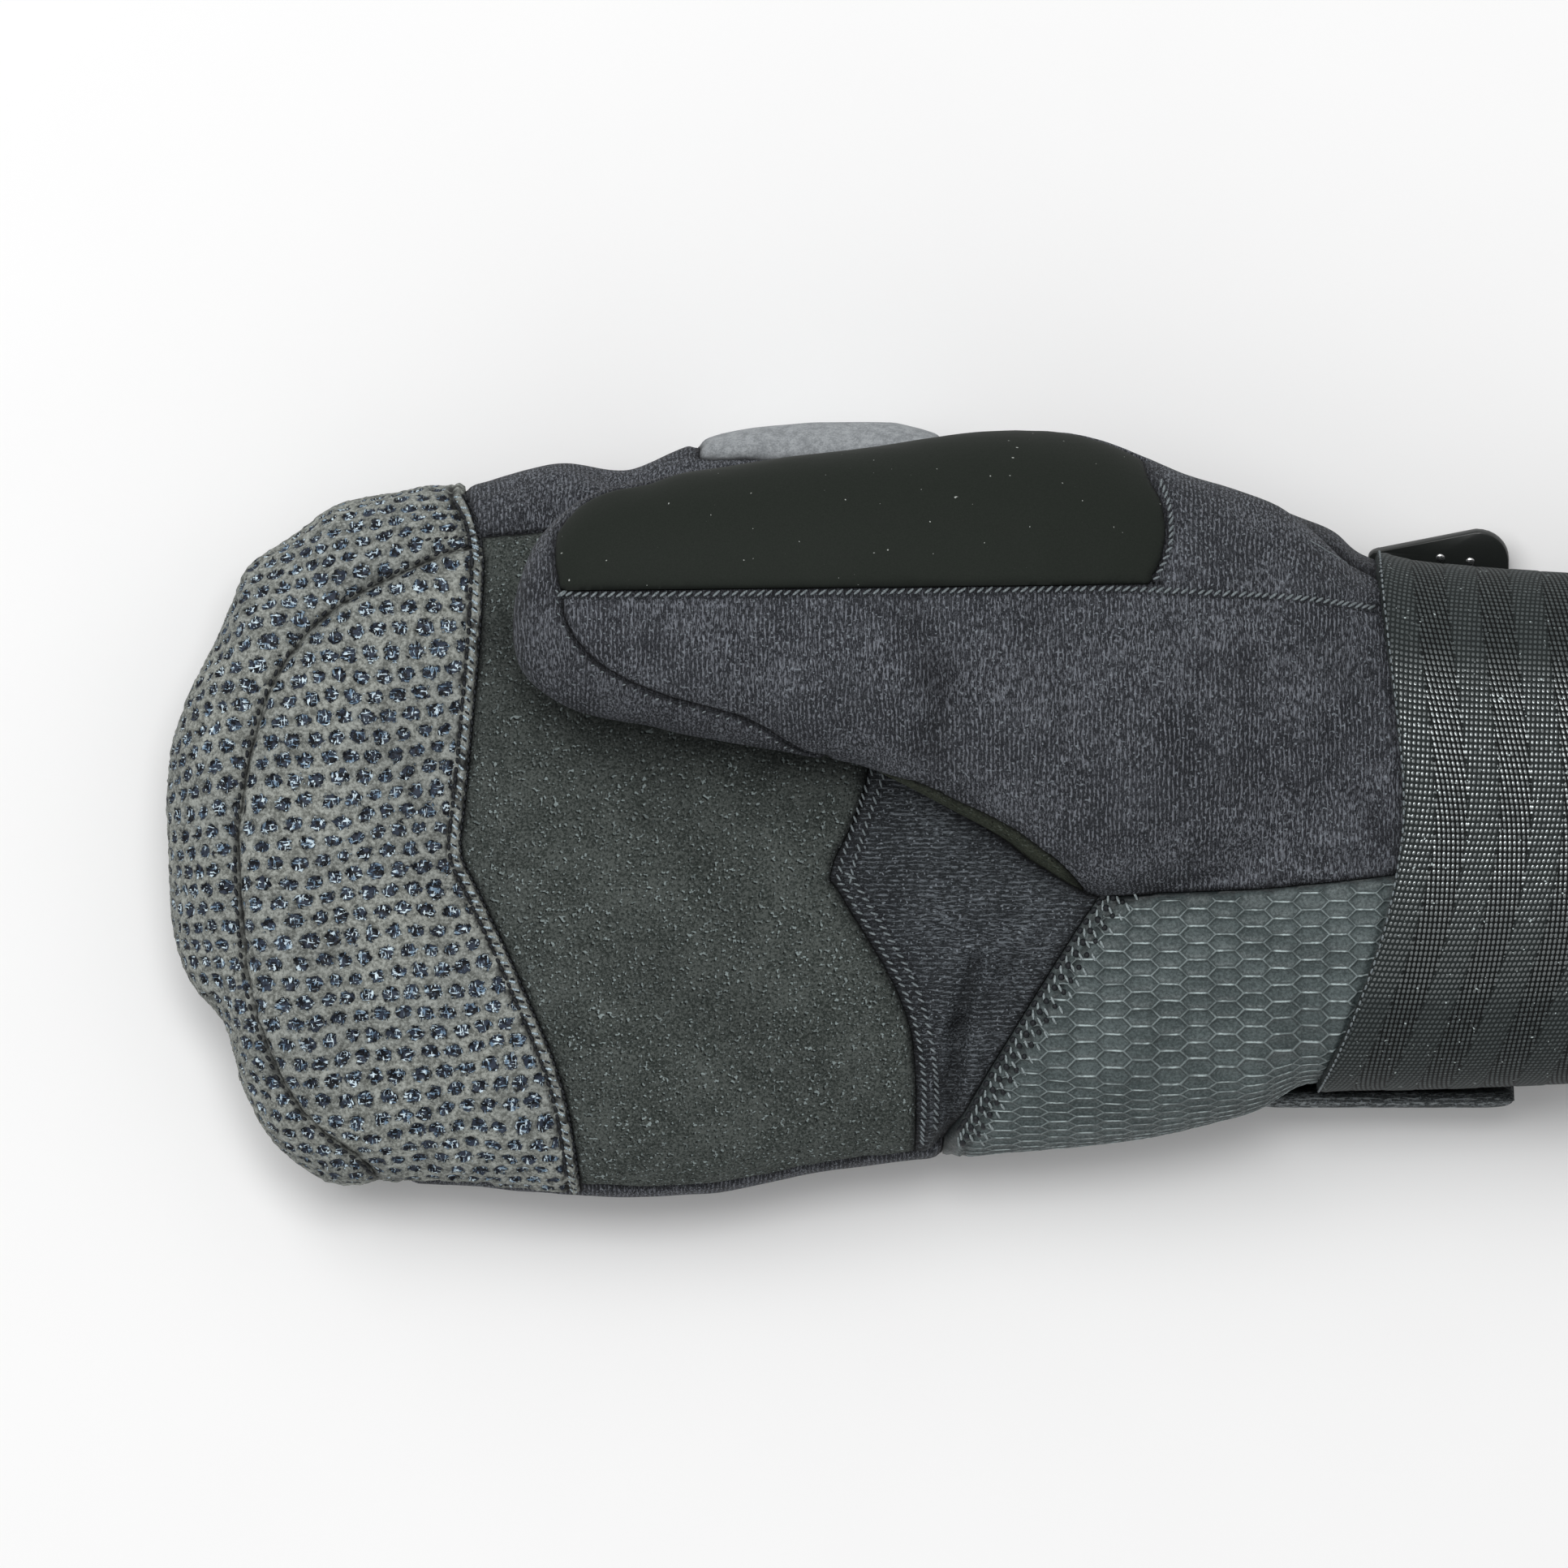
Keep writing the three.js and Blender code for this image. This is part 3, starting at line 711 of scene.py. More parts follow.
def cut_panels(form):
    panels = {}
    skin = form.clip(MOUTH_X - form.points[:, 0])
    panels["cuff"], skin = take(skin, cuff_zone)
    thumb, hand = take(skin, thumb_zone)
    for name, zone in THUMB_PANELS:
        panels[name], thumb = take(thumb, zone)
    for name, zone in HAND_PANELS:
        panels[name], hand = take(hand, zone)
    panels["thumb_shell"] = largest_part(thumb)
    panels["back_shell"] = largest_part(hand)
    return panels


# The padding, blown up between its seams

# Fineness of the coarse skin, how near a seam it is pinned, the height and the x beyond which it rests or is held by
# the strap, frames, the cap on each point's move, rounds that tell its mean swelling from its wrinkles, and how much
# of the wrinkles is kept
PADDING = {"mesh": 4.4, "seam": 2.6, "rest": 2.5, "strap": 62, "frames": 20, "reach": 2.5, "rounds": 5, "keep": 0.75}
PADDING_CLOTH = {
    "quality": 6, "mass": 0.15, "tension_stiffness": 20, "compression_stiffness": 20, "shear_stiffness": 8,
    "bending_stiffness": 0.6, "use_pressure": True, "uniform_pressure_force": 4.0, "shrink_min": -0.045,
    "vertex_group_mass": "pins",
}


def padding_wrinkles(form, seams):
    """Lets a coarse copy of the skin swell between its sewn seams, and returns it with its wrinkles."""
    coarse = remeshed(form, PADDING["mesh"])
    at_rest = (coarse.points[:, 2] < PADDING["rest"]) | (coarse.points[:, 0] > PADDING["strap"])
    held = (nearest(coarse.points, seams) < PADDING["seam"]) | at_rest
    obj = to_object("padding", coarse.points, coarse.faces)
    pins = obj.vertex_groups.new(name="pins")
    pins.add(np.flatnonzero(held).tolist(), 1.0, "REPLACE")
    cloth = obj.modifiers.new("cloth", "CLOTH")
    for key, value in PADDING_CLOTH.items():
        setattr(cloth.settings, key, value)
    cloth.settings.effector_weights.gravity = 0
    cloth.collision_settings.use_collision = False
    cloth.point_cache.frame_start = 1
    cloth.point_cache.frame_end = PADDING["frames"]
    for number in range(1, PADDING["frames"] + 1):
        bpy.context.scene.frame_set(number)
    swollen = from_object(obj)
    bpy.data.objects.remove(obj)
    bpy.context.scene.frame_set(1)
    move = swollen.points - coarse.points
    out = np.clip(np.sum(move * coarse.normals, axis=1), -PADDING["reach"], PADDING["reach"])[:, None]
    mean = neighbour_means(coarse)
    even = out
    for _ in range(PADDING["rounds"]):
        even = 0.5 * even + 0.5 * mean(even)
    print("padding", len(out), "moved", round(float(out.min()), 2), round(float(out.max()), 2))
    return coarse, PADDING["keep"] * (out - even)[:, 0]


def wrinkles_at(coarse, tree, wrinkles, points):
    """The wrinkles of the coarse skin, at the points of a fine one."""
    height = np.zeros(len(points))
    for i, point in enumerate(points.tolist()):
        place, _, face, _ = tree.find_nearest(point)
        corner = coarse.faces[face]
        a, b, c = coarse.points[corner]
        ab, ac, ap = b - a, c - a, np.array(place) - a
        d00, d01, d11, d20, d21 = ab @ ab, ab @ ac, ac @ ac, ap @ ab, ap @ ac
        scale = max(d00 * d11 - d01 * d01, 1e-9)
        v, w = (d11 * d20 - d01 * d21) / scale, (d00 * d21 - d01 * d20) / scale
        height[i] = wrinkles[corner] @ (1 - v - w, v, w)
    return height


# The relief of the panels

# The grip fabric: cells and half sizes of its holes, its slant, its middle and half size on the hand, where on the
# way out it starts to turn down and does so fully, from which height, how much of that way counts, and its waver
GRIP = {"cell": (3.8, 3.4), "hole": (1.36, 1.18), "tilt": math.radians(5), "middle": (-70, -4), "half": (72, 60),
        "turn": (0.75, 0.95), "top": 36, "counts": 0.7, "waver": 0.8}
HOLE_SHIFT, HOLE_UNEVEN = (0.3, 0.25), 0.1

# The heel's hexagons: distance of their columns and rows, length of their flat sides, the height from which they run
# down the side, how much of that way counts, and their waver along and across
HEX = {"column": 4.75, "row": 2.8, "flat": 3.3, "top": 44, "counts": 0.75, "waver": (0.25, 0.2)}

# The longest way down the side that the two patterns follow
LONGEST_DROP = 40


def grip_cloth(p):
    """Coordinates on the grip fabric, which runs on round the sides of the hand."""
    out = (p[:, :2] - GRIP["middle"]) / GRIP["half"]
    size = np.linalg.norm(out, axis=1)
    out = out / np.maximum(size, 0.2)[:, None]
    turned_down = np.clip(GRIP["top"] - p[:, 2], 0, LONGEST_DROP) * fade(size, *GRIP["turn"])
    flat = p[:, :2] + out * GRIP["counts"] * turned_down[:, None]
    cosine, sine = math.cos(GRIP["tilt"]), math.sin(GRIP["tilt"])
    flat = np.stack([flat[:, 0] * cosine + flat[:, 1] * sine, flat[:, 1] * cosine - flat[:, 0] * sine], axis=1)
    return flat + GRIP["waver"] * np.stack([lumps(flat, 9, 1), lumps(flat, 8, 2)], axis=1)


def hole_size(cloth):
    """Distance from the middle of the nearest hole, 1 at its edge. The holes aren't quite in line."""
    down = cloth[:, 1] / GRIP["cell"][1]
    row = np.floor(down)
    across = cloth[:, 0] / GRIP["cell"][0] + 0.5 * np.mod(row, 2)
    cell = np.stack([np.floor(across), row], axis=1) + 0.5
    shift = np.stack([lumps(cell, 0.9, 3), lumps(cell, 0.9, 4)], axis=1)
    a = ((across - cell[:, 0]) * GRIP["cell"][0] - HOLE_SHIFT[0] * shift[:, 0]) / GRIP["hole"][0]
    b = ((down - cell[:, 1]) * GRIP["cell"][1] - HOLE_SHIFT[1] * shift[:, 1]) / GRIP["hole"][1]
    return np.sqrt(a * a + b * b) * (1 + HOLE_UNEVEN * lumps(cell, 0.9, 5))


def heel_cloth(p):
    """Coordinates on the heel patch, measured along its section where it turns down."""
    turned_down = np.clip(HEX["top"] - p[:, 2], 0, LONGEST_DROP)
    along_hand = p[:, 0] + HEX["waver"][0] * lumps(p, 9, 5)
    across_hand = p[:, 1] - HEX["counts"] * turned_down + HEX["waver"][1] * lumps(p, 8, 6)
    return np.stack([along_hand, across_hand], axis=1)


def ridge_distance(cloth):
    """Distance to the nearest ridge of a field of flat hexagons."""
    half, slope = HEX["row"] / 2, HEX["column"] - HEX["flat"]
    reach, steep = HEX["flat"] / 2 + slope, slope / half
    a = np.abs(np.mod(cloth[:, 0] + HEX["column"], 2 * HEX["column"]) - HEX["column"])
    b = np.abs(np.mod(cloth[:, 1] + half, 2 * half) - half)
    one = np.minimum(half - b, (reach - a - b * steep) / math.hypot(1, steep))
    other = np.minimum(b, (reach - HEX["column"] + a - (half - b) * steep) / math.hypot(1, steep))
    return np.abs(np.maximum(one, other))


# Folds waver by this much. One that reaches below this height lies on the side, and ends between these two heights.
CREASE_WAVER = 0.8
SIDE_CREASE = {"below": 15, "top": (47, 43)}


def crease_height(p, normals):
    height = np.zeros(len(p))
    wander = p[:, :2] + CREASE_WAVER * np.stack([lumps(p, 6, 11), lumps(p, 6, 12)], axis=1)
    for x0, y0, x1, y1, depth, width, low in CREASES:
        line = np.array([(x0, y0), (x1, y1)])
        reach = fade(p[:, 2], low - 4, low)
        if low < SIDE_CREASE["below"]:
            reach = reach * fade(p[:, 2], *SIDE_CREASE["top"])
        height -= depth * bell(line_distance(wander, line), width) * reach
    return height * fade(normals[:, 2], 0.0, 0.4)


def strap_edge_x(y):
    """Where the strap's hand edge lies, seen from above."""
    edge = spline(STRAP_EDGE, 12)[::-1]
    return np.interp(y, edge[:, 1], edge[:, 0])


def past_strap_edge(p):
    """How far each point is past the strap's hand edge, along X."""
    return p[:, 0] - strap_edge_x(p[:, 1])


# The room that the fabric leaves under the strap, its end and the tab, how much it has elsewhere, and where those lie:
# the strap's start and end past its two edges, and for the others a span of x, a way out in y and a way down in z
ROOM = {"under": 0.05, "free": 3, "strap": (0.6, 2.5)}
COVERS = [((38, 41, 89, 92), (-31, -34), (26, 23)), ((57, 60, 89, 92), (26, 29), (18, 14))]


def window(value, start, full, still, end):
    """1 from full to still, fading to 0 at start and at end."""
    return fade(value, start, full) * fade(value, end, still)


def room_above(p):
    """How far the fabric may rise at each point before it meets the strap, its end or the tab."""
    x, y, z = p.T
    near, far = ROOM["strap"]
    covered = [window(past_strap_edge(p), -far, -near, STRAP_WIDTH + near, STRAP_WIDTH + far)]
    covered += [window(x, *span) * fade(y, *out) * fade(z, *down) for span, out, down in COVERS]
    return ROOM["under"] + ROOM["free"] * (1 - np.max(covered, axis=0))


# How each panel is sewn: depth and width of its seams, how far it puffs up, how much it puckers, and how much
# of the padding's wrinkles it shows
SEWING = {
    "fingertip_grip": (0.6, 0.6, 0.5, 0.38, 0.6), "fingertip_rim": (0.6, 0.6, 0.5, 0.42, 0.4),
    "palm_panel": (0.7, 0.7, 0.45, 0.22, 0.4), "palm_gusset": (0.7, 0.7, 0.4, 0.3, 0.5),
    "heel_patch": (0.5, 0.6, 0.4, 0.15, 0.3), "thumb_shell": (0.7, 0.7, 0.5, 0.22, 0.4),
    "thumb_wrap": (0.7, 0.7, 0.6, 0.25, 0.5), "thumb_gusset": (0.5, 0.7, 0.3, 0.1, 0.2),
    "nose_wipe": (0.4, 0.6, 0.3, 0.05, 0.05), "knuckle_panel": (0.8, 1.0, 0.9, 0.2, 0.6),
    "back_shell": (0.8, 0.9, 0.6, 0.3, 1.0), "cuff": (0.7, 0.9, 0.4, 0.2, 0.6),
}
FINE_PANELS = ("fingertip_grip", "fingertip_rim", "heel_patch")

# The distance to a pattern where there is none
NO_PATTERN = 5.0

# How far from a seam the puff, the pucker and the painted shade reach, how much of the puff is left on a steep side,
# and the slopes between which the wrinkles fade in
REACH = {"puff": 3.5, "pucker": 3.0, "seam_shade": 2.5}
STEEP_PUFF = 0.35
WRINKLE_SLOPES = (0.25, 0.75)

# Uneven padding: height, size and seed of its lumps
PUCKERS = [(1.0, 3.4, 21), (0.6, 1.9, 22)]
SWELLS = [(0.25, 17, 23), (0.1, 6, 24)]
RIM_SWELLS = [(0.6, 15, 27), (0.35, 6.5, 28)]

# Grooves of stitch rows, of the seam over the fingertips and beside the welt, each with its depth and width
ROW_GROOVE, TIP_GROOVE, WELT_GROOVE = (0.35, 0.55), (0.6, 1.8), (0.5, 0.4)
WELT = {"middle": 0.85, "width": 0.55, "height": 0.5, "stitch_line": 1.95}
HOLE_RELIEF = {"depth": 0.5, "edge": 0.7, "foot": 1.2, "lip": 0.12, "lip_at": 1.4, "lip_width": 0.3}
RIDGE = {"height": 0.42, "width": 0.42}

# The cuff: where its hem is sewn, and depth and width of that row and of its rounded mouth
HEM_SEAM_X = 135.5
HEM_GROOVE, MOUTH_GROOVE = (0.6, 0.7), (0.8, 1.1)

# Dark stitch lines inside the panels, and how far the heel's and the gusset's lie from their curves
NOSE_CHAIN = [(-75.4, 36.6), (-66, 36.4), (-30, 36.8), (0, 37.2), (20, 37.4), (36.6, 36.7), (50.4, 35.9), (63.4, 34.2)]
NOSE_SIDE = [(25.8, 38.8), (28.4, 45), (28.2, 52), (25.8, 58)]
GUSSET_ROW = [(-22.6, 7.3), (-28.2, -10.2), (-26.6, -14.8), (-17.2, -31), (-14, -45), (-14.2, -57)]
GUSSET_ROW_OFFSETS = (0.5, 2.6)
HEEL_ROW_OFFSETS = (1.3, 3.0)


def stitch_lines(name, p):
    """Distance to the nearest row of stitches on a panel, away from its own edge."""
    if name == "thumb_shell":
        return np.minimum(*(line_distance(p, spline(row, 6)) for row in (NOSE_CHAIN, NOSE_SIDE)))
    if name == "palm_gusset":
        row = spline(GUSSET_ROW, 6)
        return np.minimum(*(line_distance(p, shifted(row, offset)) for offset in GUSSET_ROW_OFFSETS))
    if name == "heel_patch":
        border = line_distance(p, spline(HEEL_EDGE, 8))
        return np.minimum(*(np.abs(border - offset) for offset in HEEL_ROW_OFFSETS))
    return np.full(len(p), 20.0)


def swells(p, table):
    return sum(height * lumps(p, size, seed) for height, size, seed in table)


def groove(distance, sizes):
    depth, width = sizes
    return depth * bell(distance, width)


def grip_relief(name, p, edge, shade, ragged, broken):
    """The fingertip fabric with its holes, its seam over the fingertips and its welt: height, shade, pattern and
    cloth."""
    height = np.zeros(len(p))
    welt = line_distance(p, spline(GRIP_EDGE if name == "fingertip_grip" else RIM_TOP_EDGE, 8))
    if name == "fingertip_rim":
        welt = np.where((p[:, 2] > 18) & (p[:, 1] > 40), welt, 20)
        height += fade(p[:, 2], 38, 28) * swells(p, RIM_SWELLS)
    tip = line_distance(p, spline(TIP_SEAM, 8))
    height -= groove(tip, TIP_GROOVE) * (1 + 0.5 * lumps(p, 2.6, 29))
    height += WELT["height"] * bell(welt - WELT["middle"], WELT["width"])
    height -= groove(welt - WELT["stitch_line"], WELT_GROOVE)
    # Painted shade: darker in the groove of the seam over the fingertips, and black in the grooves beside the welt
    shade = shade * (1 - 0.55 * bell(tip, 2.0)) + 0.55 * bell(tip, 0.8 * ragged) * broken
    shade = shade * (fade(welt, 0.25, 0.0) + fade(welt, 1.5, 2.2)) * 0.9
    shade += 1.3 * broken * (bell(welt - WELT["stitch_line"], 0.65 * ragged) + bell(welt, 0.5 * ragged))
    cloth = grip_cloth(p)
    plain = np.clip(fade(edge, 0.55, 0.2) + fade(welt, 2.4, 2.1), 0, 1)
    pattern = hole_size(cloth) + 3 * plain
    height -= HOLE_RELIEF["depth"] * fade(pattern, HOLE_RELIEF["foot"], HOLE_RELIEF["edge"])
    height += HOLE_RELIEF["lip"] * bell(pattern - HOLE_RELIEF["lip_at"], HOLE_RELIEF["lip_width"])
    return height + 0.2 * lumps(p, 1.2, 25), shade, pattern, cloth


def style_panel(name, panel, wrinkles):
    """Gives a panel its relief, and returns it with the numbers that its material reads: its place on the cloth, the
    distance to that cloth's pattern, and the shade of its seams and folds."""
    depth, width, puff, pucker, swell = SEWING[name]
    if name in FINE_PANELS:
        panel = panel.refined()
    p = panel.points
    rim = panel.rim_places()
    edge = nearest(p, rim[rim[:, 0] < MOUTH_X - 0.5])
    folds = crease_height(p, panel.normals)
    rows = stitch_lines(name, p)
    level = np.abs(panel.normals[:, 2])
    puff = puff * (STEEP_PUFF + (1 - STEEP_PUFF) * level)
    if name == "thumb_wrap":
        pucker = pucker * fade(line_distance(p, spline(NOSE_WIPE_EDGE, 6)), 1.5, 7)
    height = puff * (1 - np.exp(-edge / REACH["puff"])) - groove(edge, (depth, width)) + folds
    height += swell * fade(level, *WRINKLE_SLOPES) * wrinkles(p)
    height += pucker * np.exp(-edge / REACH["pucker"]) * swells(p, PUCKERS)
    height += swells(p, SWELLS) - groove(rows, ROW_GROOVE)
    ragged = 1 + 0.7 * lumps(p, 1.3, 26)
    broken = fade(lumps(p, 1.0, 31), -0.5, 0.1)
    # Painted shade: a dark ragged line along each seam, and a broader darkening beside it
    shade = 0.8 * bell(edge, 0.55 * ragged) + 0.2 * np.exp(-edge / REACH["seam_shade"])
    # Painted shade down in the stitch rows' grooves and in the folds
    shade += 0.6 * bell(rows, 0.6) + 0.26 * np.clip(-folds, 0, 2)
    # Painted shadow along the strap's hand edge
    shade += 0.7 * bell(past_strap_edge(p) - 0.3, 1.2) * (p[:, 2] > 20)
    pattern = np.full(len(p), NO_PATTERN)
    cloth = np.zeros((len(p), 2))
    if name in ("fingertip_grip", "fingertip_rim"):
        more, shade, pattern, cloth = grip_relief(name, p, edge, shade, ragged, broken)
        height += more
    elif name == "heel_patch":
        cloth = heel_cloth(p)
        pattern = fade(line_distance(p, spline(HEEL_EDGE, 8)), 2.4, 1.9) + fade(edge, 1.0, 0.4)
        height += RIDGE["height"] * bell(ridge_distance(cloth) + pattern, RIDGE["width"])
    elif name == "palm_panel":
        # Painted shadow of the thumb on the palm beside it
        shade += 0.6 * np.exp(-line_distance(p, THUMB[:10, :2]) / 8)
    elif name == "thumb_wrap":
        # Painted shade over the whole wrap
        shade += 0.15
    elif name == "back_shell":
        # Painted shade on the back shell under the edge of the ball of the thumb
        under_ball = line_distance(p, spline(THENAR_SIDE, 8)) + 20 * (p[:, 2] < THENAR_SEAM_Z)
        shade += 0.65 * np.exp(-under_ball / 3.5)
    elif name == "cuff":
        height -= groove(p[:, 0] - HEM_SEAM_X, HEM_GROOVE) + groove(MOUTH_X - p[:, 0], MOUTH_GROOVE)
    height[p[:, 2] < 1.2] *= 0.3
    raised = panel.raised(np.minimum(height, room_above(p)))
    raised.points[:, 2] = np.maximum(raised.points[:, 2], 0.0)
    fields = {"pattern": pattern, "cloth": np.column_stack([cloth, np.zeros(len(p))]), "shade": np.clip(shade, 0, 1)}
    return raised, fields


def walled(surface, thickness, whole):
    """A panel with its border turned inwards, and its inner face too where the whole wall is wanted."""
    rim = surface.rim_edges()
    inner = surface.points - surface.normals * thickness
    count = len(surface.points)
    used = np.arange(count) if whole else np.unique(rim)
    place = np.full(count, -1)
    place[used] = np.arange(len(used)) + count
    a, b = rim.T
    sides = np.vstack([np.stack([b, a, place[a]], 1), np.stack([b, place[a], place[b]], 1)])
    backs = [surface.faces[:, ::-1] + count] if whole else []
    return np.vstack([surface.points, inner[used]]), np.vstack([surface.faces, sides] + backs)


# Materials

# The colour that painted shade darkens towards
PAINTED_SHADE_BLACK = (0.003, 0.003, 0.004)


class Look:
    """A procedural material. Each helper adds one node or a few and returns an output. Sizes are millimetres."""

    def __init__(self, name, **sockets):
        self.material = bpy.data.materials.new(name)
        self.material.use_nodes = True
        self.tree = self.material.node_tree
        self.shader = self.tree.nodes["Principled BSDF"]
        for key, value in sockets.items():
            self.put(self.shader.inputs[key.replace("_", " ")], value)

    def put(self, socket, value):
        if isinstance(value, bpy.types.NodeSocket):
            self.tree.links.new(value, socket)
        else:
            socket.default_value = value

    def node(self, kind, inputs, **settings):
        node = self.tree.nodes.new("ShaderNode" + kind)
        for key, value in settings.items():
            setattr(node, key, value)
        for key, value in inputs.items():
            self.put(node.inputs[key], value)
        return node

    def place(self, stretch=(1, 1, 1)):
        """Position on the object, in millimetres, divided along each axis by a stretch."""
        source = self.node("TexCoord", {}).outputs["Object"]
        scale = tuple(1 / (MM * s) for s in stretch)
        return self.node("VectorMath", {0: source, 1: scale}, operation="MULTIPLY").outputs[0]

    def field(self, name, output="Fac"):
        """What set_field stored on the mesh."""
        return self.node("Attribute", {}, attribute_name=name).outputs[output]

    def noise(self, vector, size, detail=2.0, roughness=0.5, twist=0.0):
        """Noise from 0 to 1 with grains of about the given size."""
        inputs = {"Vector": vector, "Scale": 1 / size, "Detail": detail, "Roughness": roughness, "Distortion": twist}
        return self.node("TexNoise", inputs).outputs["Fac"]

    def math(self, operation, a, b=0.0, c=0.0):
        return self.node("Math", {0: a, 1: b, 2: c}, operation=operation).outputs[0]

    def times(self, a, b):
        return self.math("MULTIPLY", a, b)

    def add(self, *terms):
        """The sum of (value, factor) pairs."""
        total = 0.0
        for value, factor in terms:
            total = self.math("MULTIPLY_ADD", value, factor, total)
        return total

    def fit(self, value, low, high, to_low=0.0, to_high=1.0):
        """Maps a range smoothly onto another and holds it there."""
        inputs = {"Value": value, "From Min": low, "From Max": high, "To Min": to_low, "To Max": to_high}
        return self.node("MapRange", inputs, interpolation_type="SMOOTHSTEP").outputs["Result"]

    def mix(self, factor, a, b, **settings):
        a, b = ((*v, 1) if isinstance(v, tuple) else v for v in (a, b))
        return self.node("Mix", {0: factor, 6: a, 7: b}, data_type="RGBA", **settings).outputs[2]

    def axis(self, vector, index):
        return self.node("SeparateXYZ", {0: vector}).outputs[index]

    def ribs(self, coordinate, pitch):
        """A wave between 0 and 1 along a coordinate."""
        wave = self.math("SINE", self.times(coordinate, 2 * math.pi / pitch))
        return self.math("MULTIPLY_ADD", wave, 0.5, 0.5)

    def bump(self, height, distance, strength=1.0):
        inputs = {"Height": height, "Distance": distance * MM, "Strength": strength}
        self.put(self.shader.inputs["Normal"], self.node("Bump", inputs).outputs[0])

    def color(self, value):
        self.put(self.shader.inputs["Base Color"], value)

    def shaded(self, value, depth=0.8):
        """The colour with painted shade: darker down in seams and folds, and wherever else the field called shade
        marks.
        """
        self.color(self.mix(self.times(self.field("shade"), depth), value, PAINTED_SHADE_BLACK))

    def rough(self, value):
        self.put(self.shader.inputs["Roughness"], value)


def softshell_look(name, along_x, dark, light, pitch=0.76):
    """Stretch fabric with a fine, broken rib. along_x says that the ribs follow X."""
    look = Look(name, Specular_IOR_Level=0.25)
    place = look.place()
    across = look.axis(place, 1 if along_x else 0)
    rib = look.ribs(look.add((across, 1.0), (look.noise(place, 7.0), 1.6)), pitch)
    threads = look.noise(look.place((1.9, 0.42, 1) if along_x else (0.42, 1.9, 1)), 0.62, 2.0, 0.65)
    grain = look.noise(place, 0.3, 2.0, 0.7)
    ribbed = look.fit(look.noise(place, 13.0), 0.35, 0.65, 0.5, 0.0)
    dash = look.times(look.fit(rib, 0.2, 0.9, ribbed, 1.0), look.fit(threads, 0.42, 0.62))
    tone = look.add((dash, 0.75), (grain, 0.65), (look.noise(place, 8.0), 0.2))
    color = look.mix(look.fit(tone, 0.335, 1.09), dark, light)
    specks = look.fit(look.noise(place, 0.5, 0.0), 0.71, 0.77)
    look.shaded(look.mix(look.times(specks, 0.6), color, (0.25, 0.28, 0.31)))
    look.rough(look.fit(grain, 0.3, 0.7, 0.9, 0.7))
    look.bump(look.add((dash, 0.8), (grain, 0.8)), 0.2, 0.9)
    return look.material


def suede_look(name, dark, light, speck):
    """Napped suede with fine pale flecks, each with a painted shadow on one side."""
    look = Look(name, Specular_IOR_Level=0.15)
    place = look.place()
    shadow = look.node("VectorMath", {0: place, 1: (0.22, 0.22, 0)}, operation="ADD").outputs[0]
    nap = look.noise(place, 0.45, 3.0, 0.75)
    tone = look.add((nap, 1.1), (look.noise(place, 7.0, 3.0), 0.25))
    rare = look.fit(look.noise(place, 5.0), 0.32, 0.6, 0.4, 1.0)
    # Each fleck's painted shadow: the same flecks, shifted a little and darkened
    flecks, fleck_shadows = (look.fit(look.noise(at, 0.62, 1.0), 0.62, 0.70) for at in (place, shadow))
    color = look.mix(look.fit(tone, 0.53, 0.83), dark, light)
    color = look.mix(look.times(fleck_shadows, 0.9), color, tuple(c * 0.2 for c in dark))
    look.shaded(look.mix(look.times(flecks, look.times(rare, 0.9)), color, speck))
    look.rough(0.92)
    look.bump(nap, 0.4, 1.0)
    return look.material


def wipe_look(name):
    """Smooth microsuede with a few pale specks of lint."""
    look = Look(name, Specular_IOR_Level=0.12, Roughness=0.7)
    place = look.place()
    nap = look.noise(place, 0.3, 2.0, 0.6)
    specks = look.fit(look.noise(place, 0.6, 0.0), 0.855, 0.89)
    color = look.mix(nap, (0.010, 0.013, 0.010), (0.019, 0.023, 0.019))
    look.shaded(look.mix(specks, color, (0.35, 0.37, 0.35)), 0.5)
    look.bump(nap, 0.04, 0.5)
    return look.material


def grip_look(name):
    """Pale knit with staggered holes that show twisted dark threads, with painted pale blue glints on them."""
    look = Look(name, Specular_IOR_Level=0.2)
    place = look.place()
    size = look.add((look.field("pattern"), 1.0), (look.noise(place, 1.15, 3.0, 0.6, 0.4), 1.9))
    hole = look.fit(size, 2.02, 1.84)
    knit = look.noise(place, 0.6, 3.0, 0.7)
    tone = look.add((knit, 0.75), (look.noise(place, 2.6), 0.3))
    net = look.mix(look.fit(tone, 0.38, 0.68), (0.115, 0.121, 0.109), (0.385, 0.404, 0.372))
    # Painted highlights: pale blue streaks in the holes where the threads would catch the light
    strands = [look.fit(look.noise(look.place(way), 0.8, 1.0, 0.5, 0.5), 0.585, 0.635)
               for way in ((0.5, 1.5, 1), (1.5, 0.5, 1))]
    glint = look.math("MAXIMUM", *strands)
    tint = look.mix(look.fit(look.noise(place, 1.2), 0.4, 0.6), (0.17, 0.26, 0.36), (0.72, 0.86, 0.93))
    hollow = look.fit(look.noise(place, 1.1, 1.0), 0.42, 0.6)
    inside_hole = look.mix(hollow, (0.002, 0.003, 0.006), (0.030, 0.040, 0.062))
    deep = look.mix(glint, inside_hole, tint)
    around = look.times(look.fit(size, 2.35, 1.95), 0.35)
    net = look.mix(around, net, (0.05, 0.058, 0.06))
    shade = look.mix(look.fit(look.noise(place, 14.0), 0.3, 0.7), (0.85, 0.86, 0.88), (1.0, 1.0, 1.0))
    look.shaded(look.mix(1.0, look.mix(hole, net, deep), shade, blend_type="MULTIPLY"), 0.93)
    look.rough(look.fit(hole, 0, 1, 0.85, 0.5))
    look.bump(look.add((knit, 0.7), (look.times(glint, hole), 1.0), (hole, -1.2)), 0.25, 0.9)
    return look.material


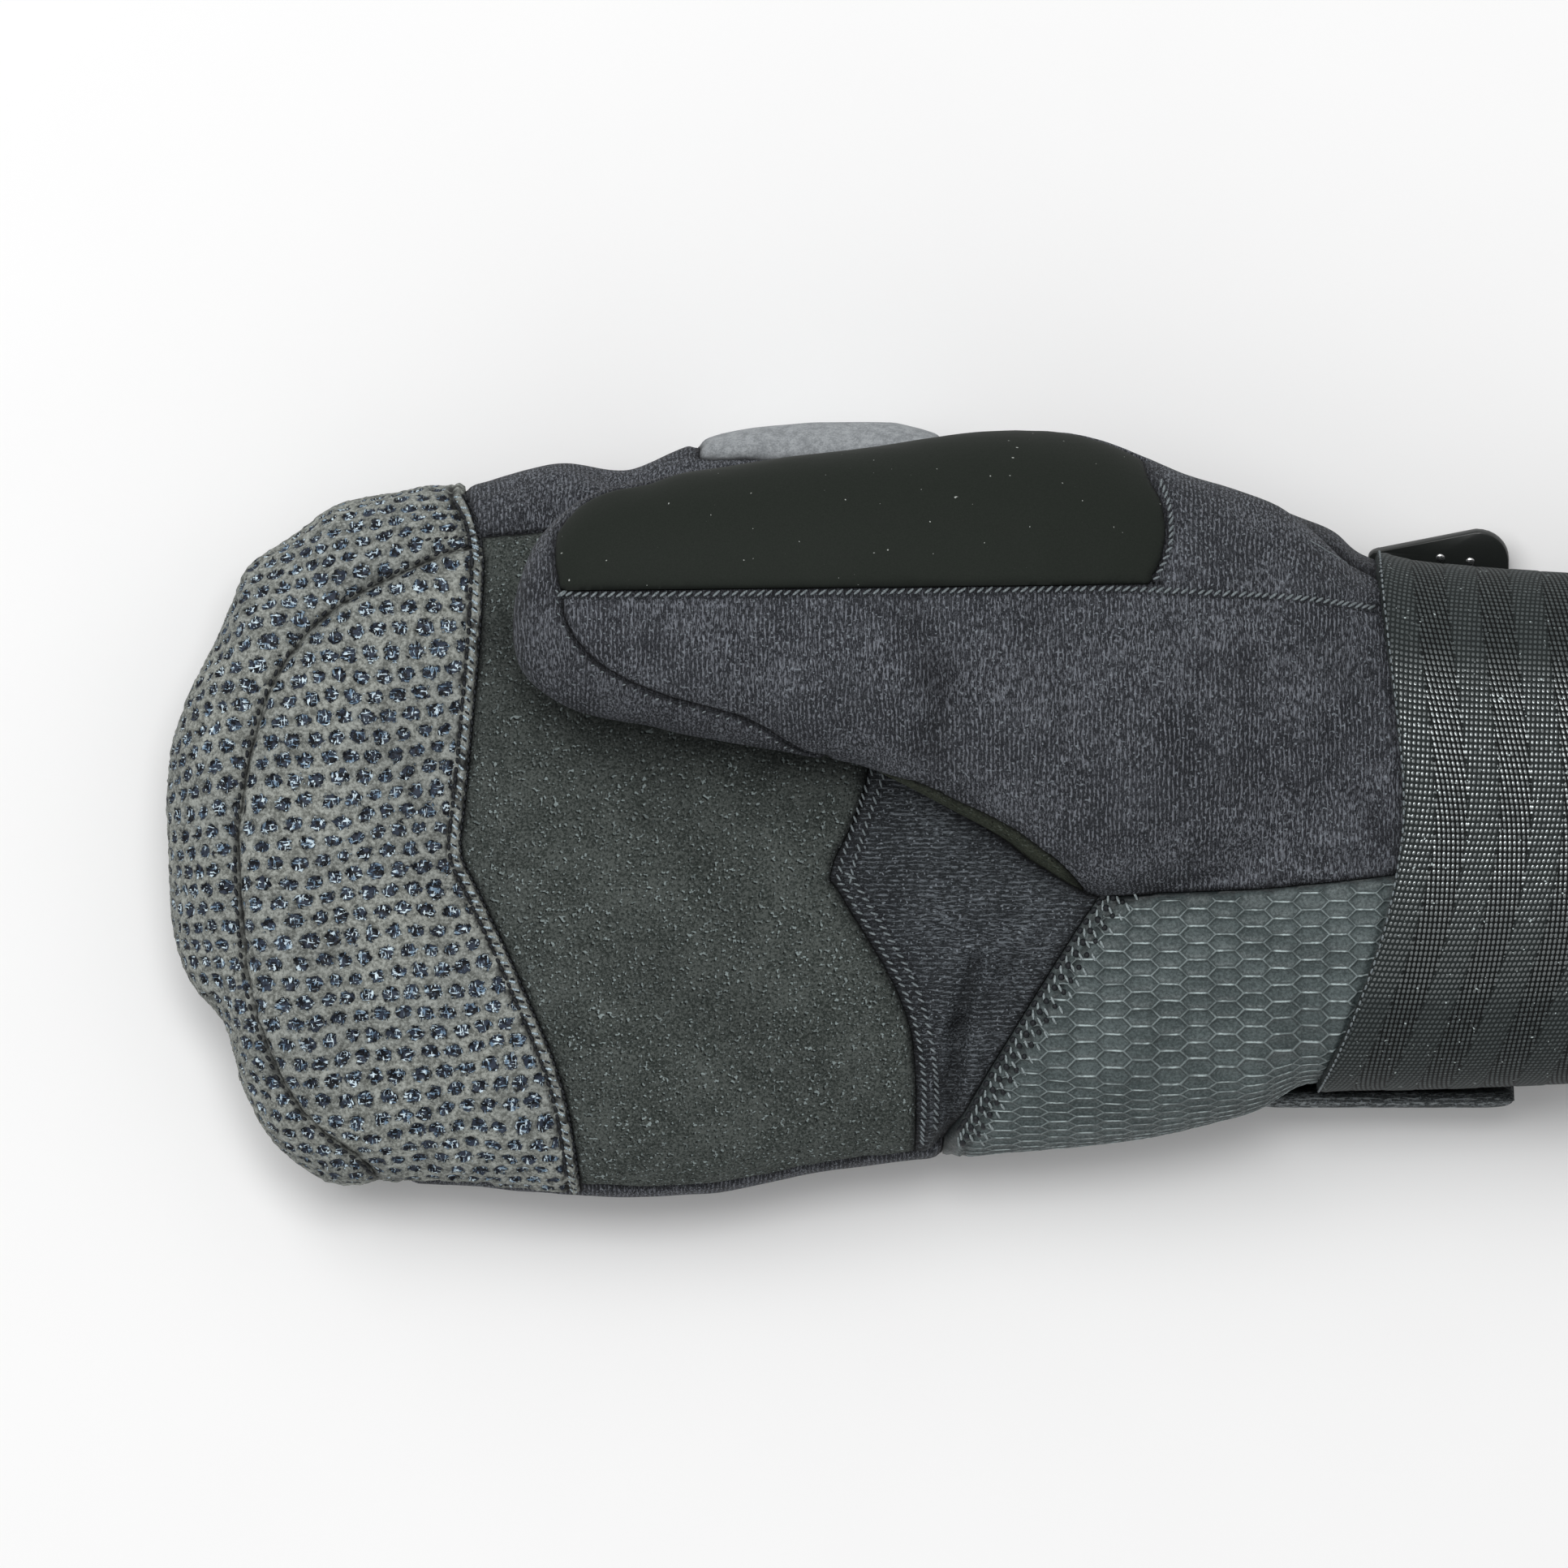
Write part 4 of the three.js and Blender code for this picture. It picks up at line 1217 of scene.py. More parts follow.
def heel_look(name):
    """Embossed leather with pale ridges round its flat hexagons, worn and with a painted highlight. pattern is added
    where there are none.
    """
    look = Look(name, Specular_IOR_Level=0.35)
    place = look.place()
    cloth = look.field("cloth", "Vector")
    half, steep = HEX["row"] / 2, (HEX["column"] - HEX["flat"]) / (HEX["row"] / 2)
    reach, length = HEX["column"] - HEX["flat"] / 2, math.hypot(1, steep)
    a = look.math("PINGPONG", look.axis(cloth, 0), HEX["column"])
    b = look.math("PINGPONG", look.axis(cloth, 1), half)
    slant = look.add((a, -1 / length), (b, -steep / length), (1.0, reach / length))
    one = look.math("MINIMUM", look.math("SUBTRACT", half, b), slant)
    other_slant = look.add((a, 1 / length), (b, steep / length), (1.0, (reach - HEX["column"] - half * steep) / length))
    other = look.math("MINIMUM", b, other_slant)
    distance = look.math("ABSOLUTE", look.math("MAXIMUM", one, other))
    grain = look.noise(place, 0.5, 3.0, 0.7)
    off = look.add((distance, 1.0), (look.field("pattern"), 1.0), (grain, 0.3))
    ridge, foot = look.fit(off, 0.42, 0.2), look.fit(off, 0.75, 0.45)
    # Painted highlight: ridges that run along x are lighter, as if lit from +y; the noise times it is their wear
    level = look.math("MINIMUM", look.math("ABSOLUTE", slant), look.math("ABSOLUTE", other_slant))
    level = look.fit(level, 0.12, 0.5, 0.4, 1.0)
    worn_and_lit = look.times(look.fit(look.noise(place, 2.2, 2.0, 0.6), 0.35, 0.6, 0.35, 1.0), level)
    tone = look.add((grain, 0.7), (look.noise(place, 9.0), 0.3))
    face = look.mix(look.fit(tone, 0.35, 0.7), (0.033, 0.046, 0.047), (0.110, 0.139, 0.141))
    face = look.mix(look.times(foot, 0.5), face, (0.02, 0.028, 0.029))
    look.shaded(look.mix(look.times(ridge, worn_and_lit), face, (0.42, 0.50, 0.505)))
    look.rough(look.fit(grain, 0.3, 0.7, 0.6, 0.42))
    look.bump(look.add((grain, 0.5), (ridge, 1.0)), 0.2, 0.9)
    return look.material


def knuckle_look(name):
    """Pale, finely grained fabric."""
    look = Look(name, Specular_IOR_Level=0.3, Roughness=0.75)
    grain = look.noise(look.place(), 0.35, 3.0, 0.7)
    tone = look.add((grain, 0.6), (look.noise(look.place(), 1.6, 2.0, 0.6), 0.5))
    look.shaded(look.mix(look.fit(tone, 0.4, 0.7), (0.20, 0.215, 0.226), (0.355, 0.376, 0.392)))
    look.bump(grain, 0.12, 0.7)
    return look.material


def webbing_look(name):
    """Glossy herringbone. cloth holds the place along and across the band, in threads, and the way it slants.
    The field shade holds its painted sheen: where the band lies level, its thread tops are painted lighter, metallic
    and smooth.
    """
    look = Look(name, Specular_IOR_Level=0.12)
    cloth = look.field("cloth", "Vector")
    along_band, over_band, way = (look.axis(cloth, i) for i in range(3))
    slant = look.math("SIGN", way)
    rows = look.ribs(along_band, 1.0)
    columns = look.ribs(look.math("MULTIPLY_ADD", look.times(along_band, 1 / 6), slant, over_band), 1.0)
    knots = look.times(rows, columns)
    lines = look.add((columns, 0.2), (knots, 0.8))
    lined = look.fit(way, 0.25, -0.25)
    weave = look.node("Mix", {0: lined, 2: knots, 3: lines}).outputs[0]
    at_border = look.fit(look.math("ABSOLUTE", way), 0.32, 0.1)
    whole = look.fit(look.times(look.ribs(along_band, 3.0), at_border), 0.88, 0.68)
    uneven = look.fit(look.noise(look.place(), 1.0, 2.0, 0.7), 0.3, 0.6, 0.45, 1.0)
    raised = look.times(look.fit(weave, 0.12, 0.42), look.times(whole, uneven))
    tops = look.times(look.fit(weave, 0.2, 0.55), look.times(whole, uneven))
    # Painted sheen: thread tops turn lighter, metallic and smooth where the field shade says the band lies level
    shine = look.times(tops, look.field("shade"))
    gaps = look.mix(lined, (0.017, 0.021, 0.021), (0.004, 0.005, 0.005))
    threads = look.mix(raised, gaps, (0.062, 0.073, 0.074))
    glints = look.fit(look.noise(look.place(), 0.6, 0.0), 0.80, 0.86)
    threads = look.mix(glints, threads, (0.42, 0.48, 0.48))
    look.color(look.mix(shine, threads, (0.215, 0.232, 0.233)))
    look.rough(look.fit(shine, 0.0, 1.0, 0.7, 0.25))
    look.put(look.shader.inputs["Metallic"], look.times(shine, 0.9))
    look.bump(weave, 0.055, 1.0)
    return look.material


def plastic_look(name, color, roughness):
    """Satin moulding, slightly uneven."""
    look = Look(name, Roughness=roughness, Specular_IOR_Level=0.5)
    grain = look.noise(look.place(), 0.5)
    look.color(look.mix(grain, tuple(c * 0.85 for c in color), tuple(c * 1.15 for c in color)))
    look.bump(grain, 0.02, 0.4)
    return look.material


def metal_look(name):
    """Bright metal, slightly worn."""
    look = Look(name, Metallic=1.0)
    wear = look.noise(look.place(), 0.4)
    look.color(look.mix(wear, (0.6, 0.6, 0.6), (0.85, 0.85, 0.85)))
    look.rough(look.fit(wear, 0.3, 0.7, 0.2, 0.35))
    return look.material


def thread_look(name, dark, light):
    """Twisted thread."""
    look = Look(name, Specular_IOR_Level=0.3, Roughness=0.6)
    twist = look.noise(look.place((0.4, 0.9, 1)), 0.4, 2.0, 0.7)
    look.color(look.mix(look.fit(twist, 0.3, 0.7), dark, light))
    look.bump(twist, 0.08, 0.6)
    return look.material


shell = softshell_look("softshell", False, (0.011, 0.0125, 0.016), (0.165, 0.177, 0.202))
# The strap end's softshell, painted lighter than the shell to make up for the shadow it lies in under the wrist
end_shell = softshell_look("strap_end", True, (0.03, 0.035, 0.037), (0.25, 0.275, 0.285), 0.9)
shell_across = softshell_look("softshell_across", True, (0.008, 0.010, 0.012), (0.115, 0.130, 0.145), 0.82)
grip = grip_look("grip_fabric")
suede = suede_look("palm_suede", (0.026, 0.032, 0.029), (0.099, 0.112, 0.105), (0.29, 0.345, 0.345))
edge_suede = suede_look("edge_suede", (0.024, 0.030, 0.021), (0.060, 0.068, 0.050), (0.12, 0.14, 0.12))
LOOKS = {
    "cuff": shell, "thumb_shell": shell, "thumb_wrap": shell, "back_shell": shell, "strap_end": end_shell,
    "palm_gusset": shell_across, "palm_panel": suede, "thumb_gusset": edge_suede,
    "nose_wipe": wipe_look("wipe_suede"), "fingertip_grip": grip, "fingertip_rim": grip,
    "heel_patch": heel_look("heel_leather"), "knuckle_panel": knuckle_look("knuckle_fabric"),
    "wrist_strap": webbing_look("webbing"), "pull_tab": plastic_look("moulded_plastic", (0.015, 0.017, 0.016), 0.36),
}
rivet_look = metal_look("rivet_metal")
# Dark thread, also used for short dark blobs that stand as painted shade in needle holes
dark_thread = thread_look("dark_thread", (0.003, 0.004, 0.005), (0.018, 0.021, 0.026))
grey_thread = thread_look("grey_thread", (0.08, 0.098, 0.105), (0.24, 0.27, 0.285))
pale_thread = thread_look("pale_thread", (0.13, 0.16, 0.165), (0.36, 0.41, 0.42))
# Pale blue thread crossing the welt, partly stitching and partly a painted glint in its bright colour
glint_thread = thread_look("glint_thread", (0.06, 0.09, 0.12), (0.55, 0.68, 0.75))


def add_piece(name, mesh, look, node, replaces=True, sharp=None):
    """Adds a finished piece that rides on the mitten. node is the CAD piece that it belongs to."""
    obj = to_object(name, *mesh, look)
    if replaces:
        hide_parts(node)
    if sharp is not None:
        obj.data.set_sharp_from_angle(angle=math.radians(sharp))
    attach(obj, "root")
    return obj


def build_panels():
    """The sewn panels, each as its own piece. Returns their outer faces."""
    form = build_form()
    panels = cut_panels(form)
    wrinkles = lambda points: np.zeros(len(points))
    seams = np.vstack([panel.rim_places() for panel in panels.values()])
    coarse, heights = padding_wrinkles(form, seams)
    tree = coarse.tree()
    wrinkles = lambda points: wrinkles_at(coarse, tree, heights, points)
    outer = {}
    for name, panel in panels.items():
        outer[name], fields = style_panel(name, panel, wrinkles)
        whole = name == "cuff"
        mesh = walled(outer[name], CUFF_WALL if whole else TURN_IN, whole)
        obj = add_piece(name + "_fabric", mesh, LOOKS[name], name)
        set_field(obj, "shade", fields["shade"], 1.0)
        if name in FINE_PANELS:
            set_field(obj, "pattern", fields["pattern"], NO_PATTERN)
            set_field(obj, "cloth", fields["cloth"])
        print("piece", name, len(mesh[1]))
    return outer


# Strap

STRAP_OUTSIDE = STRAP_CLEARANCE + STRAP_THICKNESS

# Pitch of the band's threads along it and across it, and the width of its herringbone's blocks
WEAVE = {"down": 1.03, "across": 0.8, "block": 10.9}

# The band's relief: how far it is sunk to leave room, its frayed border and how wide that is, its raised and its
# sunken blocks, the bead along its edges, how far those are rounded off, its lumps, and its wall
STRAP_RELIEF = {"sunk": 0.25, "fray": 0.16, "frayed": 0.3, "block": 0.06, "gap": 0.08, "bead": 0.12, "edge": 0.4,
                "lumps": 0.14, "wall": 1.6}
SELVEDGE = {"inset": 0.1, "sunk": 0.3, "pitch": 1.55, "length": 1.0, "radius": 0.22}

# How level the band has to lie for its painted sheen to start and to be full, and how much of that sheen it has
# elsewhere
PAINTED_SHEEN = {"slopes": (0.87, 0.965), "rest": 0.1}


def strap_point(angle, across, grow):
    """Points of the band: angle round the wrist, and across its width from its hand edge."""
    rows = rows_along(HAND, FORM_STEP)
    x = np.full_like(angle, 85.0)
    for _ in range(4):
        point = hand_ring([x] + row_at(rows, x), angle, grow)
        x = strap_edge_x(point[..., 1]) + across
    return point


def build_strap():
    dense = np.linspace(0, 2 * math.pi, 4000)
    length = along(strap_point(dense, np.full_like(dense, STRAP_WIDTH / 2), STRAP_OUTSIDE))
    threads_down = 6 * int(round(length[-1] / WEAVE["down"] / 6))
    count_down, count_across = 2 * threads_down, 2 * int(round(STRAP_WIDTH / WEAVE["across"])) + 1
    down, across = np.meshgrid(np.arange(count_down) / 2, np.linspace(0, STRAP_WIDTH, count_across), indexing="ij")
    angle = np.interp(down * length[-1] / threads_down, length, dense)
    side = np.minimum(across, STRAP_WIDTH - across)
    fray = lumps(np.stack([down.ravel(), across.ravel() / 30], axis=1), 0.9, 33).reshape(across.shape)
    frayed = across + STRAP_RELIEF["fray"] * fray * (side < STRAP_RELIEF["frayed"])
    points = strap_point(angle, frayed, STRAP_OUTSIDE - STRAP_RELIEF["sunk"]).reshape(-1, 3)
    down, across, side = down.ravel(), across.ravel(), side.ravel()
    last = np.arange(count_across) + (count_down - 1) * count_across
    seam = np.concatenate([last, np.arange(count_across)])[grid_faces(2, count_across, False)]
    surface = Surface(points, np.vstack([grid_faces(count_down, count_across, False), seam]))
    if np.mean(np.sum(surface.normals * (points - points.mean(axis=0)), axis=1)) < 0:
        surface = Surface(points, surface.faces[:, ::-1])
    way = np.sin(2 * math.pi * across / WEAVE["block"])
    height = STRAP_RELIEF["block"] * fade(way, -0.15, 0.15) - STRAP_RELIEF["gap"] * bell(way, 0.2)
    height += STRAP_RELIEF["bead"] * bell(side - 1.3, 0.6) - STRAP_RELIEF["edge"] * np.exp(-side / 0.5)
    height += STRAP_RELIEF["lumps"] * lumps(points, 13, 31)
    height[points[:, 2] < 1] = 0
    # Painted sheen, only where the band lies level and faces the lights above
    level_sheen = np.clip(PAINTED_SHEEN["rest"] + fade(surface.normals[:, 2], *PAINTED_SHEEN["slopes"]), 0, 1)
    mesh = walled(surface.raised(height), STRAP_RELIEF["wall"], False)
    obj = add_piece("wrist_strap_band", mesh, LOOKS["wrist_strap"], "wrist_strap")
    set_field(obj, "cloth", np.stack([down, across / WEAVE["across"], way], axis=1))
    # The strap's field shade holds its painted sheen
    set_field(obj, "shade", level_sheen)
    print("piece strap", len(mesh[1]))
    for side, place in (("hand", SELVEDGE["inset"]), ("cuff", STRAP_WIDTH - SELVEDGE["inset"])):
        line = strap_point(dense, np.full_like(dense, place), STRAP_OUTSIDE - SELVEDGE["sunk"])
        row = ring_row(line, SELVEDGE["pitch"], SELVEDGE["length"], SELVEDGE["radius"])
        add_piece("wrist_strap_%s_selvedge" % side, row, grey_thread, "wrist_strap", replaces=False)


# Strap end: the folded end of the closing strap, under the wrist

STRAP_END = {"x": 42.5, "length": 45.5, "thickness": 3.2, "low": 0.4, "high": 22, "grow": 2.6, "side": -34,
             "section_x": 76, "step": 0.5, "powers": (14, 8), "rib": 0.12, "rib_pitch": 0.9}


def build_strap_end():
    rows = rows_along(HAND, FORM_STEP)
    wrist = rows[np.argmin(np.abs(rows[:, 0] - STRAP_END["section_x"]))]
    half = STRAP_END["thickness"] / 2
    ring = hand_ring(wrist, np.linspace(-math.pi / 2, -math.pi, 3000), STRAP_END["grow"] + half)
    low, high = STRAP_END["low"] + 0.5, STRAP_END["high"] - 0.3
    section = ring[(ring[:, 2] > low) & (ring[:, 2] < high) & (ring[:, 1] < STRAP_END["side"])]
    section = point_at(section, np.arange(0, along(section)[-1], STRAP_END["step"]))
    xs = np.arange(0.3, STRAP_END["length"] - 0.2, STRAP_END["step"])
    grid = np.repeat(section[None], len(xs), axis=0)
    grid[:, :, 0] = STRAP_END["x"] + xs[:, None]
    base = Surface(grid.reshape(-1, 3), grid_faces(len(xs), len(section), False))
    if base.normals[:, 1].mean() > 0:
        base = Surface(base.points, base.faces[:, ::-1])
    u = np.abs(np.linspace(-1, 1, len(xs)))[:, None]
    v = np.abs(np.linspace(-1, 1, len(section)))[None]
    round_off = np.clip(1 - u ** STRAP_END["powers"][0] - v ** STRAP_END["powers"][1], 0, 1) ** 0.5
    ribs = STRAP_END["rib"] * np.sin(2 * math.pi * along(section)[None] / STRAP_END["rib_pitch"])
    outer = base.raised((round_off * (half - 0.15 + ribs)).ravel())
    inner = base.raised((-round_off * half).ravel())
    count = len(outer.points)
    a, b = base.rim_edges().T
    faces = np.vstack([base.faces, base.faces[:, ::-1] + count, np.stack([b, a, a + count], 1),
                       np.stack([b, a + count, b + count], 1)])
    mesh = np.vstack([outer.points, inner.points]), faces
    obj = add_piece("strap_end_fabric", mesh, LOOKS["strap_end"], "strap_end")


# Pull tab and its rivets

TAB = {"x": 62.5, "root": 33.3, "lift": 0.5, "tilt": 26, "width": 24, "length": 16.5, "left": 12.8, "corner": 5.5,
       "small_corner": 1.6, "thickness": 1.8, "bevel": 0.45}
RIVET_PLACES = {"tab_rivet_1": (12.3, 11.6), "tab_rivet_2": (17.4, 10.9)}
RIVET = {"radius": 0.45, "head": 0.8, "dome": 0.35, "foot": 0.4, "sides": 20}


def on_tab(points):
    """From the tab's own plane to its place on the mitten."""
    tilt = math.radians(TAB["tilt"])
    x, y, z = np.asarray(points, float).T
    return np.stack([TAB["x"] + x, TAB["root"] + y * math.cos(tilt) - z * math.sin(tilt),
                     TAB["lift"] + y * math.sin(tilt) + z * math.cos(tilt)], axis=1)


def build_tab():
    width, length, corner, small = TAB["width"], TAB["length"], TAB["corner"], TAB["small_corner"]
    turn = np.linspace(0, math.pi / 2, 9)
    tip = [(width - corner + corner * math.sin(a), length - corner + corner * math.cos(a)) for a in turn[::-1]]
    left = [(small - small * math.sin(a), TAB["left"] - small + small * math.cos(a)) for a in turn]
    ring = np.array([(0, 0), (width, 0)] + tip + left)
    middle = ring.mean(axis=0)
    bevel, top = TAB["bevel"], TAB["thickness"]
    levels = []
    for z, inset in ((0, bevel), (bevel, 0), (top - bevel, 0), (top - 0.12, 0.2), (top, bevel + 0.1)):
        shrunk = middle + (ring - middle) * (1 - inset / np.linalg.norm(ring - middle, axis=1))[:, None]
        levels.append(np.column_stack([shrunk, np.full(len(ring), z)]))
    points, faces = closed_loft(np.stack(levels))
    add_piece("pull_tab_moulding", (on_tab(points), faces), LOOKS["pull_tab"], "pull_tab", sharp=35)
    turn = np.linspace(0, 2 * math.pi, RIVET["sides"], endpoint=False)
    for name, (x, y) in RIVET_PLACES.items():
        base = top + 0.05
        profile = [(RIVET["head"], -RIVET["foot"]), (RIVET["head"], -0.05), (RIVET["radius"], 0.0),
                   (RIVET["radius"], base)]
        profile += [(RIVET["head"] * math.cos(a), base + RIVET["dome"] * math.sin(a)) for a in np.linspace(0, 1.5, 7)]
        rings = np.stack([np.stack([x + r * np.cos(turn), y + r * np.sin(turn), z + 0 * turn], 1) for r, z in profile])
        points, faces = closed_loft(rings)
        add_piece(name + "_metal", (on_tab(points), faces), rivet_look, name, sharp=40)


# Stitches

STITCH_RINGS = [(-1.0, 0.15), (-0.75, 0.75), (0.0, 1.0), (0.75, 0.75), (1.0, 0.15)]
STITCH_SIDES = 6

# A stitch is left out where the fabric is steeper than a level, or where it would be shorter or drop more than these
# parts of its length. A step of the fabric, at a fold or a slit, counts at most as this much of the row's length.
STITCH_LIMITS = {"level": 0.1, "short": 0.2, "steep": 1.5, "step": 1.0}

# How far a stitch strays, in parts of the pitch, how far it turns, in degrees, and how much shorter it gets
STITCH_UNEVEN = {"place": 0.12, "turn": 6, "length": 0.12}


def stitch_mesh(starts, ends, radius):
    """Short rounded threads from each start to each end."""
    middle, half = (starts + ends) / 2, (ends - starts) / 2
    direction = unit(half)
    side = unit(np.cross(direction, (0, 0, 1.0)))
    up = np.cross(side, direction)
    turn = np.linspace(0, 2 * math.pi, STITCH_SIDES, endpoint=False)
    around = np.cos(turn)[None, :, None] * side[:, None] + np.sin(turn)[None, :, None] * up[:, None]
    rings = [(middle + place * half)[:, None] + radius * size * around for place, size in STITCH_RINGS]
    one = grid_faces(len(STITCH_RINGS), STITCH_SIDES, True)
    each = len(STITCH_RINGS) * STITCH_SIDES
    faces = (one[None] + (np.arange(len(starts)) * each)[:, None, None]).reshape(-1, 3)
    return np.stack(rings, axis=1).reshape(-1, 3), faces


def joined(meshes):
    """Several meshes as one."""
    points, faces, count = [], [], 0
    for mesh_points, mesh_faces in meshes:
        points.append(mesh_points)
        faces.append(mesh_faces + count)
        count += len(mesh_points)
    return np.vstack(points), np.vstack(faces)


def lifted(tree, flat):
    """The highest point of a surface above each flat place, and its normal's z, below 0 where a seam's slit lets
    through to the inside, and 0 where nothing is met."""
    points, level = [], []
    for x, y in flat.tolist():
        place, normal, _, _ = tree.ray_cast(Vector((x, y, 200)), Vector((0, 0, -1)))
        points.append((x, y, 0) if place is None else tuple(place))
        level.append(0.0 if normal is None else normal.z)
    return np.array(points), np.array(level)


def stitch_row(tree, curve, offset, pitch, length, radius, slant=0.0, lift=0.0, seed=0):
    """A row of stitches along a curve seen from above. slant turns each one, in degrees."""
    line = spline(curve, 10)
    flat = shifted(point_at(line, np.arange(0, along(line)[-1], 0.25)), offset)
    steps = np.linalg.norm(np.diff(lifted(tree, flat)[0], axis=0), axis=1)
    solid_length = np.concatenate([[0], np.cumsum(np.minimum(steps, STITCH_LIMITS["step"]))])
    places = np.arange(pitch / 2, solid_length[-1], pitch)
    places = places + STITCH_UNEVEN["place"] * pitch * lumps(places[:, None], 1.3, seed)
    centre, ahead = (np.stack([np.interp(at, solid_length, column) for column in flat.T], axis=1)
                     for at in (places, places + 0.3))
    run = unit(ahead - centre)
    turn = np.radians(slant + STITCH_UNEVEN["turn"] * lumps(places[:, None], 2.1, seed + 1))
    run = np.stack([run[:, 0] * np.cos(turn) - run[:, 1] * np.sin(turn),
                    run[:, 0] * np.sin(turn) + run[:, 1] * np.cos(turn)], axis=1)
    shorter = STITCH_UNEVEN["length"] * (1 - lumps(places[:, None], 0.9, seed + 2))
    half = run * (length / 2 * (1 - shorter))[:, None]
    starts, level_start = lifted(tree, centre - half)
    ends, level_end = lifted(tree, centre + half)
    fallen_start, fallen_end = level_start < 0, level_end < 0
    starts[:, 2] = np.where(fallen_start, ends[:, 2], starts[:, 2])
    ends[:, 2] = np.where(fallen_end, starts[:, 2], ends[:, 2])
    level = np.where(fallen_end, level_start, np.minimum(level_start, level_end))
    level = np.where(fallen_start, level_end, level)
    reach, drop = np.linalg.norm(ends - starts, axis=1), np.abs(starts[:, 2] - ends[:, 2])
    good = (level > STITCH_LIMITS["level"]) & (reach > STITCH_LIMITS["short"] * length)
    good &= drop < STITCH_LIMITS["steep"] * length
    return stitch_mesh(starts[good] + (0, 0, lift), ends[good] + (0, 0, lift), radius)


def ring_row(line, pitch, length, radius):
    """A row of stitches along a line in space."""
    places = np.arange(pitch / 2, along(line)[-1], pitch)
    return stitch_mesh(point_at(line, places - length / 2), point_at(line, places + length / 2), radius)


# Rows that lie on the hand: piece, thread, curve, offset to its left, pitch, length, radius, slant and lift
HAND_STITCHES = [
    ("fingertip_grip", dark_thread, GRIP_EDGE, 1.95, 1.5, 1.3, 0.37, 8, 0.12),
    ("fingertip_grip", dark_thread, GRIP_EDGE, 1.0, 2.3, 1.1, 0.22, 48, 0.2),
    ("fingertip_grip", dark_thread, GRIP_EDGE, 0.05, 1.3, 1.0, 0.31, 10, 0.1),
    ("fingertip_grip", glint_thread, GRIP_EDGE, 1.15, 1.7, 1.5, 0.26, 52, 0.2),
    ("fingertip_grip", glint_thread, RIM_TOP_EDGE, 1.15, 1.7, 1.5, 0.26, 52, 0.2),
    ("fingertip_grip", dark_thread, RIM_TOP_EDGE, 1.95, 1.5, 1.3, 0.37, 8, 0.12),
    ("fingertip_grip", dark_thread, RIM_TOP_EDGE, 0.05, 1.3, 1.0, 0.31, 10, 0.1),
    ("fingertip_rim", dark_thread, TIP_SEAM, 0.0, 1.9, 1.4, 0.33, 14, 0.1),
    ("palm_panel", dark_thread, PALM_SIDE_SEAM, 0.0, 1.6, 1.1, 0.24, 10, 0.1),
    ("palm_gusset", grey_thread, GUSSET_ROW, 0.6, 1.45, 1.5, 0.22, 38, 0.15),
    ("palm_gusset", grey_thread, GUSSET_ROW, 2.7, 1.45, 1.5, 0.22, 38, 0.15),
    # Short sunk dark blobs between the grey stitches: painted shade in the needle holes
    ("palm_gusset", dark_thread, GUSSET_ROW, 1.3, 1.45, 0.6, 0.3, 0, -0.05),
    ("palm_gusset", dark_thread, GUSSET_ROW, 3.4, 1.45, 0.6, 0.3, 0, -0.05),
    ("heel_patch", pale_thread, HEEL_EDGE, 1.4, 1.9, 1.9, 0.25, 34, 0.12),
    ("heel_patch", pale_thread, HEEL_EDGE, 3.0, 2.4, 1.7, 0.25, 58, 0.14),
    ("heel_patch", pale_thread, HEEL_EDGE, 5.0, 2.8, 1.6, 0.25, 60, 0.14),
    # Fat dark blobs along the border: painted shade in the needle holes
    ("heel_patch", dark_thread, HEEL_EDGE, 0.6, 1.9, 1.4, 0.5, -12, 0.15),
    ("heel_patch", dark_thread, HEEL_EDGE, 2.1, 2.4, 1.3, 0.58, 30, 0.12),
    ("heel_patch", dark_thread, HEEL_EDGE, 3.8, 2.8, 1.1, 0.48, 30, 0.1),
]

# The same, for rows that lie on the thumb
THUMB_STITCHES = [
    ("thumb_shell", grey_thread, NOSE_CHAIN, 0.1, 1.5, 1.75, 0.27, 36, 0.18),
    # Short sunk dark blobs beside the chain: painted shade between its stitches
    ("thumb_shell", dark_thread, NOSE_CHAIN, -0.6, 1.5, 0.7, 0.3, 0, -0.05),
    ("thumb_shell", grey_thread, NOSE_SIDE, 0.0, 1.4, 1.6, 0.25, -38, 0.15),
    # A continuous fine grey line along the ball's edge: partly its stitching, partly a painted highlight on its rolled
    # edge
    ("thumb_shell", grey_thread, THENAR_SIDE[:3], 0.35, 0.85, 1.2, 0.13, 0, 0.06),
    ("thumb_wrap", dark_thread, THUMB_TIP_SEAM, 0.0, 1.5, 1.2, 0.24, 10, 0.1),
    ("thumb_wrap", grey_thread, THUMB_TIP_SEAM, -0.5, 2.1, 0.8, 0.16, 40, 0.05),
]

HEM_STITCHES = {"sunk": 0.45, "pitch": 2.4, "length": 1.7, "radius": 0.2}


